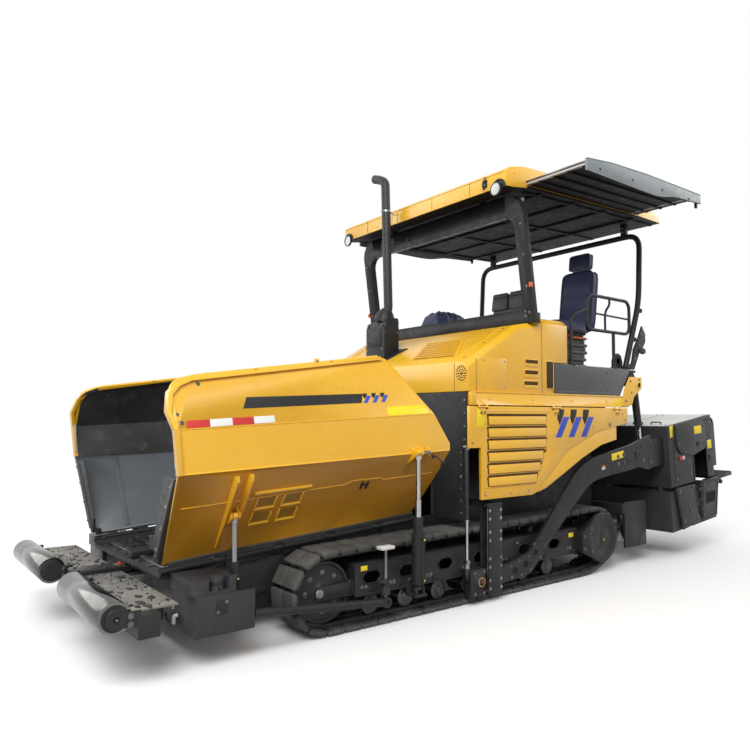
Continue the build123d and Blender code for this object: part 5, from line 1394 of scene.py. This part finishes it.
    piece = Piece()
    x, foot_y, y, z = BODY_X - 20, 1490, 1800, 3560
    side = side_on(x, (foot_y, 2078), (y - 40, 2800), (y, z))
    piece.tube(BLACK, side + [(-a, b, c) for a, b, c in side[::-1]], 30, 165, 22)
    for s in SIDES:
        piece.block(BLACK, (s * x - 62, foot_y - 50, 2066.5), (s * x + 14, foot_y + 50, 2080), 3)
        piece.bolts([(s * x - 44, foot_y + d, 2080) for d in (-38, 38)], UP, 8)
        piece.block(BLACK, (s * 1010 - 30, y - 30, z), (s * 1010 + 30, y + 30, roof_z(y - 30) + 3), 5)
        piece.bolts(side_on(s * 1010, (y - 31, z + 60), (y - 31, z + 100)), FRONT, 8)
        web = [(1537, 2020), (1660, 2090), (1700, 2240), (1785, 2360), (1860, 2500), (1920, 2420),
               (1918, 2330), (1860, 2260), (1790, 2200), (1700, 2020)]
        piece.plate(BLACK, [(s * x, a - 60, b + 46) for a, b in web], 14, OUT, 4, 6)
        piece.lathe(RUBBER, (s * x, 1778, 2272), OUT * s, [(0, 16), (8, 30), (34, 34),
                                                           (48, 28), (52, 14)], 24)
        piece.bolts(side_on(s * x + 14 * (s > 0) - 6 * (s < 0), (1650, 2180), (1740, 2330),
                            (1800, 2440)), (s, 0, 0), 8)
    for up in (2380, 2700):
        piece.lathe(BLACK, (x, 1640 + (up - 2380) * 0.37, up), (0, 8, 24),
                    [(0, 34), (2, 36), (26, 36), (28, 34)], 22)
    piece.done("rear_bow", "chassis", "black_paint", ("canopy_rear_frame",))


def exhaust():
    piece = Piece()
    mid = -520                      # plane of the upright pipe
    base = [(-560, -650), (-150, -650), (-70, -420), (-560, -400)]
    piece.plate(BLACK, [on_slope(a, b) for a, b in base], 8, SLOPE_OUT, 2)
    side = [(-620, slope_z(-620) - 4), (-620, 2470), (-604, 2528), (-560, 2552), (-470, 2582), (-440, 2576),
            (-432, 2540), (-432, slope_z(-432) - 4)]
    piece.plate(BLACK, side_on(-520, *side), 315, OUT, 6, 0)
    piece.tube(DARK, [(-362, -566, 2500), (-362, -560, 2560), (-300, -530, 2600), (-272, mid, 2680),
                      (-300, mid, 3300), (-332, mid, 4030), (-430, mid, 4080), (-518, mid, 4110)],
               46, 70, 28)
    dome = [(0, 108), (8, 112), (40, 104), (86, 84), (120, 58), (134, 50)]
    piece.lathe(BLACK, (-330, -532, 2550), (45, 11, 150), dome, 32)
    piece.lathe(STEEL, (-317, mid, 3700), (-4, 0, 100), [(0, 47), (1, 50), (16, 50), (17, 47)], 28)
    piece.tube(GREY, [(-317, -566, 3708), (-317, -585, 3716), (-330, -432, 3716),
                      (-330, -402, 3700)], 7, 14, 12)
    piece.tube(DARK, [(-512, mid, 4106), (-520, mid, 4110)], 38, 0, 28)
    piece.bolts([(-205, y, z) for y in (-600, -450) for z in (2430, 2500)], OUT, 8)
    for x in (-490, -240):
        piece.bolts(side_on(x, (-620, 2250), (-620, 2500)), FRONT, 8)
    piece.block(BLACK, (-470, -628, 2290), (-255, -618, 2450), 6)
    piece.done("exhaust_dressed", "chassis", "exhaust_steel", ("exhaust",))


# ---------------------------------------------------------------- levelling, tow arms and screed
TOW_Y, TOW_Z = -654.0, 188.0
LEVEL_X, LEVEL_Y = 1168, -782       # axis of the levelling cylinder
TILT = (Matrix.Translation((0, TOW_Y, TOW_Z)) @ turn(5.5)
        @ Matrix.Translation((0, -TOW_Y, -TOW_Z)))


def tow_gear():
    refined("tow_arms", BLACK, 4)
    refined("lift_barrels", BLACK, 2)
    refined("lift_rods", CHROME, 1)
    refined("auger_mount", BLACK, 3)
    piece = Piece()
    piece.frame = TILT
    x = 1184
    edge = [(-284, 250), (-72, 280), (2, 297), (267, 509), (550, 753), (751, 904), (878, 965), (1041, 1002),
            (1338, 1023), (1683, 1048), (1990, 1099)]
    low = [(1804, 801), (1620, 793), (1328, 791), (1068, 781), (940, 753), (847, 704), (663, 588), (466, 450),
           (278, 326), (61, 156), (-19, 107), (-248, 101)]
    piece.tube(BLACK, [(x - 4, a, b - 3) for a, b in edge], 5, 60, 8)
    piece.tube(BLACK, [(x - 4, a, b + 3) for a, b in low], 5, 60, 8)
    for mat, y0, y1, z0, z1, rise in ((SIGN, 1330, 1540, 930, 1000, 10), (WHITE, 1150, 1205, 860, 900, 3)):
        label = [(y0, z0), (y0, z1), (y1, z1 + rise), (y1, z0 + rise)]
        piece.plate(mat, side_on(x, *label), 1.5, OUT, 0.4)
    piece.plate(ORANGE, side_on(x + 1, (1150, 885), (1150, 902), (1205, 905), (1205, 888)), 1.2, OUT, 0.3)
    piece.bolts(side_on(x, (1440, 960), (1540, 966), (1440, 880), (1540, 884), (1900, 1010), (1900, 860),
                        (2040, 1050), (2040, 820)), OUT, 13)
    for a, b in ((-210, 176), (-70, 200), (70, 276)):
        piece.lathe(BLACK, (x - 3, a, b), OUT, [(0, 40), (5, 40), (8, 34), (8, 30), (4, 28)], 28)
        piece.lathe(GRILLE, (x - 1, a, b), OUT, [(0, 29), (3.4, 29)], 24)
    piece.bolts(side_on(x, (-262, 226), (-262, 128), (-150, 246), (-140, 120), (-20, 256), (-10, 140),
                        (60, 350), (130, 216), (170, 380), (190, 300)), OUT, 7)
    piece.lathe(BLACK, (x - 2, 1800, 930), OUT, [(0, 46), (8, 46), (11, 40), (11, 24), (6, 20)], 32)
    piece.done("arm_fittings", "screed", "dark_grey_paint", (), True)

    refined("tow_carriages", BLACK, 2)
    piece = Piece()
    y, z = TOW_Y, TOW_Z
    piece.lathe(BRASS, (1206, y, z), OUT, [(0, 44), (6, 44), (9, 40), (9, 30), (5, 28), (5, 20)], 40)
    piece.lathe(BLACK, (1206, y, z), OUT, [(0, 27), (7, 27), (8, 22)], 24)
    piece.lathe(RED, (1212, y, z), OUT, [(0, 8), (4, 8), (6, 5)], 16)
    piece.bolts(side_on(1206, (y - 70, z + 80), (y + 34, z + 80), (y - 70, z - 90), (y + 34, z - 90)), OUT, 8)
    piece.cylinder(CHROME, (LEVEL_X, LEVEL_Y, 300), (LEVEL_X, LEVEL_Y, 968), 12.5, 20)
    piece.lathe(STEEL, (LEVEL_X, LEVEL_Y, 306), UP, [(0, 14), (4, 22), (46, 22), (50, 14)], 20)
    piece.block(STEEL, (1146, -800, 352), (1190, -764, 378), 4)
    piece.done("tow_point_fittings", "tow_carriage", "black_paint", (), True)

    piece = Piece()
    piece.lathe(BLACK, (LEVEL_X, LEVEL_Y, 700), UP, [(590, 13.5), (0, 13.5), (0, 17.5),
                                                     (620, 17.5), (625, 14)], 24)
    piece.lathe(STEEL, (LEVEL_X, LEVEL_Y, 694), UP, [(7, 13.5), (0, 14), (0, 20), (14, 20), (16, 17),
                                                     (16, 13.6)], 24)
    piece.block(BLACK, (1138, -792, 1295), (1168, -772, 1320), 3)
    piece.lathe(STEEL, (1150, -782, 1308), OUT, [(0, 24), (34, 24), (36, 20), (36, 10)], 24)
    piece.done("levelling_dressed", "chassis", "black_paint", ("levelling_barrels",), True)

    piece = Piece()
    for y in (-562, -430):
        for z in (120, 190, 300, 370, 520, 590, 700, 770):
            piece.bolt((1220, y, z), OUT, 8, STEEL)
    for i in range(9):
        piece.block(BLACK, (1198, -572 + i * 18, 800), (1222, -563 + i * 18, 822), 2)
    piece.block(WORN, (1200, -580, 90), (1208, -568, 790), 2)
    piece.done("post_fittings", "chassis", "black_paint", (), True)

    piece = Piece()
    top, foot = Vector((1090, 1800, 1930)), Vector((1090, 1930, 1200))
    along = (foot - top).normalized()
    port = top + along * 90
    piece.tube(STEEL, [port - OUT * 52, top + along * 240 - OUT * 52], 7, 0, 10)
    piece.cylinder(BRASS, port - OUT * 36, port - OUT * 60, 9, 6)
    piece.done("lift_fittings", "lift_barrels", "black_paint", (), True)

    y, z, turns, steps, x0, x1 = 1900, 340, 5.2, 150, 150, 1050
    auger = Piece()
    auger.cylinder(STEEL, (90, y, z), (1060, y, z), 38, 28)
    rings = []
    for k in range(steps + 1):
        a = 2 * math.pi * turns * k / steps
        x = x0 + (x1 - x0) * k / steps
        rings.append([(x + dx, y + r * math.cos(a), z + r * math.sin(a))
                      for r, dx in ((34, -6), (158, -5), (158, 5), (34, 6))])
    auger.skin(STEEL, rings)
    auger.done("auger_left_dressed", "auger_left", "worn_steel", ("auger_left",))
    auger.points = [Vector((-p.x, p.y, p.z)) for p in auger.points]
    auger.faces = [face[::-1] for face in auger.faces]
    auger.done("auger_right_dressed", "auger_right", "worn_steel", ("auger_right",))


def screed():
    for node in ("screed_main", "screed_housing", "screed_extension_left", "screed_extension_right"):
        refined(node, DARK, 4)
    piece = Piece()
    piece.frame = TILT
    x = 1250
    # side plates: cover, signs, switch, arch and bolts
    piece.plate(DARK, side_on(x, (2400, 1150), (2400, 540), (2500, 520), (2770, 520), (2780, 700),
                              (2780, 860), (2420, 880)), 6, OUT, 3)
    piece.bolts(side_on(x + 6, (2430, 840), (2430, 570), (2750, 820), (2750, 560)), OUT, 9)
    piece.plate(SIGN, side_on(x, (2352, 1180), (2352, 1050), (2420, 1052), (2420, 1184)), 1.5, OUT, 0.4)
    piece.block(RED, (x + 4, 2490, 780), (x + 22, 2560, 820), 5)
    piece.block(WHITE, (x + 4, 2565, 780), (x + 18, 2600, 820), 4)
    cover = [(2440, 1170), (2520, 1196), (2700, 1196), (2990, 1190), (3080, 1150), (3100, 980), (3060, 850),
             (2790, 800), (2520, 850), (2450, 930)]
    piece.plate(DARK, side_on(x, *cover), 26, OUT, 8)
    piece.bolts(side_on(x + 26, (2490, 1150), (2490, 960), (2620, 860), (3050, 900), (3060, 1110),
                        (2760, 1160)), OUT, 8)
    piece.plate(SIGN, side_on(x + 26, (2830, 1130), (2830, 1040), (2990, 1036), (2990, 1126)), 1.5, OUT, 0.4)
    piece.lathe(BLACK, (x + 25, 2900, 920), OUT, [(0, 34), (5, 34), (8, 28), (8, 20), (4, 16)], 28)
    for i in range(7):
        piece.lathe(BLACK, (x + 4, 2830 + i * 62, 1150 + i * 4), OUT, [(0, 9), (3, 9), (4, 5)], 12)
    piece.sign(SIGN, x, (3155, 3250), (830, 930))
    piece.lathe(BLACK, (x - 1, 3196, 720), OUT, [(0, 34), (8, 34), (12, 26), (12, 12), (8, 8)], 28)
    for a, b in ((3150, 1130), (3240, 1130), (3150, 560), (3240, 560), (3240, 980), (3150, 650)):
        piece.bolt((x, a, b), OUT, 8)
    arch = [(2815, 500), (2815, 938), (2977, 1008), (3123, 935), (3123, 500)]
    piece.tube(DARK, side_on(x + 1, *arch), 8, 40, 10)
    # top deck: pale tread plates with their handles and bolts
    rise = (1226 - 1180) / 963
    for x0, x1 in ((-1220, -640), (-620, -20), (20, 620), (640, 1220)):
        front, back = (2330, 1181), (3250, 1181 + 920 * rise)
        piece.plate(TREAD, [(x0, *front), (x1, *front), (x1, *back), (x0, *back)], 4, UP, 2)
        for k in range(2):
            xm = x0 + (x1 - x0) * (0.3 + 0.4 * k)
            handle = [(xm + a, 2420, b) for a, b in ((-60, 1188), (-60, 1216), (60, 1216), (60, 1188))]
            piece.tube(BLACK, handle, 7, 14, 10)
        for yy in (2370, 3200):
            piece.bolts([(xx, yy, 1184 + (yy - 2310) * rise) for xx in (x0 + 30, x1 - 30)], UP, 7)
    # rear panel with its doors, lamps and pipe
    for x0, x1 in ((-1180, -620), (-590, -20), (20, 590), (620, 1180)):
        piece.plate(DARK, [(x0, 3345, 650), (x0, 3345, 1090), (x1, 3345, 1090),
                           (x1, 3345, 650)], 5, REAR, 2.5)
        piece.bolts([(xx, 3350, zz) for xx in (x0 + 30, x1 - 30) for zz in (680, 1060)], REAR, 8)
        xm = (x0 + x1) / 2
        piece.tube(BLACK, [(xm + a, b, 870) for a, b in ((-50, 3350), (-50, 3366), (50, 3366),
                                                         (50, 3350))], 6, 10, 10)
    for s in SIDES:
        piece.tube(BLACK, side_on(s * 1236, (3300, 640), (3330, 700), (3330, 1150), (3290, 1180)), 13, 40, 14)
        piece.lathe(LENS, (s * 1120, 3350, 1010), REAR, [(0, 34), (6, 34), (9, 28)], 28)
    for xx in (-1000, -500, 0, 500, 1000):
        piece.lathe(BLACK, (xx, 3346, 720), REAR, [(0, 26), (8, 26), (10, 18)], 24)
    piece.done("housing_fittings", "screed", "dark_grey_paint")
    piece.beyond(1240).done("housing_fittings_far", "screed", "dark_grey_paint")

    piece = Piece()
    piece.frame = TILT
    x = 1270
    for a, b in ((2440, 440), (2500, 100), (2720, 440), (2790, 90), (2600, 260), (2660, 180)):
        piece.bolt((x, a, b), OUT, 13)
    ridge = closed([(2396, 466), (2756, 456), (2836, 62), (2478, 32)])
    piece.tube(BLACK, side_on(x, *ridge), 5, 30, 8)
    piece.tube(BLACK, closed(side_on(x, (2962, 462), (3312, 458), (3222, 54), (2906, 48))), 5, 30, 8)
    piece.plate(GRILLE, side_on(x, (3020, 330), (3210, 330), (3190, 210), (3005, 210)), 1.5, OUT, 0)
    piece.tube(BLACK, closed(side_on(x + 1, (3016, 334), (3214, 334), (3194, 206), (3001, 206))), 5, 12, 8)
    piece.cylinder(BLACK, (x + 2, 2870, 90), (x + 2, 2895, 440), 15, 18)
    for b in (150, 260, 380):
        piece.block(BLACK, (x - 4, 2830, b), (x + 12, 2935, b + 34), 4)
    piece.bolts(side_on(x, (2970, 430), (3290, 430), (3200, 90), (2930, 90)), OUT, 9)
    # walkway grating and its edge
    for i in range(23):
        piece.block(DARK, (40 + i * 52, 3372, 478), (48 + i * 52, 3708, 488), 1.5)
    for i in range(7):
        piece.block(DARK, (24, 3382 + i * 52, 480), (1236, 3390 + i * 52, 486), 1.5)
    piece.tube(DARK, [(24, 3716, 470), (1238, 3716, 470)], 7, 0, 10)
    piece.lathe(BLACK, (1240, 3420, 400), OUT, [(0, 26), (16, 26), (20, 18)], 24)
    piece.block(STEEL, (30, 2716, 2), (1236, 3266, 12), 3)
    piece.done("extension_gate_fittings", "screed_extension_left", "dark_grey_paint", (), True)


# ---------------------------------------------------------------- stage
FLOOR_FADE = (4.2, 8.0)             # metres from the middle over which the floor turns to plain white
PALE, GROUND = (0.90, 0.90, 0.90), (0.15, 0.11, 0.085)


def seen_ray(tree):
    """1 for rays from the camera, gloss and glass, and 0 for those that only light things."""
    path = tree.nodes.new("ShaderNodeLightPath")
    seen = path.outputs["Is Camera Ray"]
    for ray in ("Is Glossy Ray", "Is Transmission Ray"):
        either = tree.nodes.new("ShaderNodeMath")
        either.operation = "MAXIMUM"
        tree.links.new(seen, either.inputs[0])
        tree.links.new(path.outputs[ray], either.inputs[1])
        seen = either.outputs[0]
    return seen


def strength_of(tree, seen, unseen):
    """Full strength for seen rays, and less for the others."""
    node = tree.nodes.new("ShaderNodeMapRange")
    node.inputs["To Min"].default_value = unseen
    tree.links.new(seen, node.inputs["Value"])
    return node.outputs["Result"]


def stage():
    bpy.ops.mesh.primitive_plane_add(size=120, location=(0, 0, -0.001))
    floor = bpy.context.object
    floor.name = "floor"
    mat, tree, shader = new_material("floor_white")
    # what the camera, gloss and glass see is pale; what lights the object from below is darker ground
    seen = seen_ray(tree)
    tree.links.new(mixed(tree, seen, GROUND, PALE), shader.inputs["Base Color"])
    shader.inputs["Roughness"].default_value = 0.9
    shader.inputs["Specular IOR Level"].default_value = 0.0
    # away from the object the floor turns to plain white, so that it meets the world without an edge
    coord = tree.nodes.new("ShaderNodeTexCoord")
    reach = tree.nodes.new("ShaderNodeVectorMath")
    reach.operation = "LENGTH"
    tree.links.new(coord.outputs["Object"], reach.inputs[0])
    away = tree.nodes.new("ShaderNodeMapRange")
    away.inputs["From Min"].default_value, away.inputs["From Max"].default_value = FLOOR_FADE
    tree.links.new(reach.outputs["Value"], away.inputs["Value"])
    glow = tree.nodes.new("ShaderNodeEmission")
    tree.links.new(strength_of(tree, seen, 0.2), glow.inputs["Strength"])
    blend = tree.nodes.new("ShaderNodeMixShader")
    tree.links.new(away.outputs["Result"], blend.inputs[0])
    tree.links.new(shader.outputs["BSDF"], blend.inputs[1])
    tree.links.new(glow.outputs["Emission"], blend.inputs[2])
    tree.links.new(blend.outputs["Shader"], tree.nodes["Material Output"].inputs["Surface"])
    floor.data.materials.append(mat)
    world = bpy.data.worlds.new("world")
    bpy.context.scene.world = world
    world.use_nodes = True
    tree = world.node_tree
    back = tree.nodes["Background"]
    tree.links.new(strength_of(tree, seen_ray(tree), 0.68), back.inputs["Strength"])
    back.inputs["Color"].default_value = (1, 1, 1, 1)


def light(name, location, target, size, power):
    data = bpy.data.lights.new(name, "AREA")
    data.size = size
    data.energy = power
    lamp = bpy.data.objects.new(name, data)
    lamp.location = location
    lamp.rotation_euler = (Vector(target) - Vector(location)).to_track_quat("-Z", "Y").to_euler()
    bpy.context.collection.objects.link(lamp)


VIEW_ANGLES = (50.29, 3.549, 0.055)  # yaw, pitch and roll in degrees
VIEW_FROM = Vector((5.3367, -4.7511, 1.5582)) + SHIFT
PICTURE, FOCAL = 750, 683.68        # pixels
SENSOR = 36


def camera():
    yaw, pitch, roll = (math.radians(angle) for angle in VIEW_ANGLES)
    ahead = Vector((-math.sin(yaw) * math.cos(pitch), math.cos(yaw) * math.cos(pitch), math.sin(pitch)))
    right = Vector((math.cos(yaw), math.sin(yaw), 0))
    up = right.cross(ahead)
    c, s = math.cos(roll), math.sin(roll)
    right, up = c * right + s * up, -s * right + c * up
    data = bpy.data.cameras.new("camera")
    data.sensor_width = SENSOR
    data.lens = SENSOR * FOCAL / PICTURE
    data.shift_x = -0.06
    cam = bpy.data.objects.new("camera", data)
    cam.matrix_world = Matrix((
        (right.x, up.x, -ahead.x, VIEW_FROM.x),
        (right.y, up.y, -ahead.y, VIEW_FROM.y),
        (right.z, up.z, -ahead.z, VIEW_FROM.z),
        (0, 0, 0, 1)))
    bpy.context.collection.objects.link(cam)
    bpy.context.scene.camera = cam


for build in (tracks, running_gear, front_end, wings, hopper_bed, wing_cylinders, side_doors, hood,
              side_boxes, seats, controls, canopy, exhaust, tow_gear, screed, camera, stage):
    build()
light("key", (7, -8, 9), (0, 0, 1.2), 6, 1250)
light("fill", (-7, -7, 6), (0, -1, 1.2), 7, 350)
light("rear", (3, 9, 7), (0, 1, 1.5), 6, 300)
bpy.context.scene.view_settings.view_transform = "Standard"
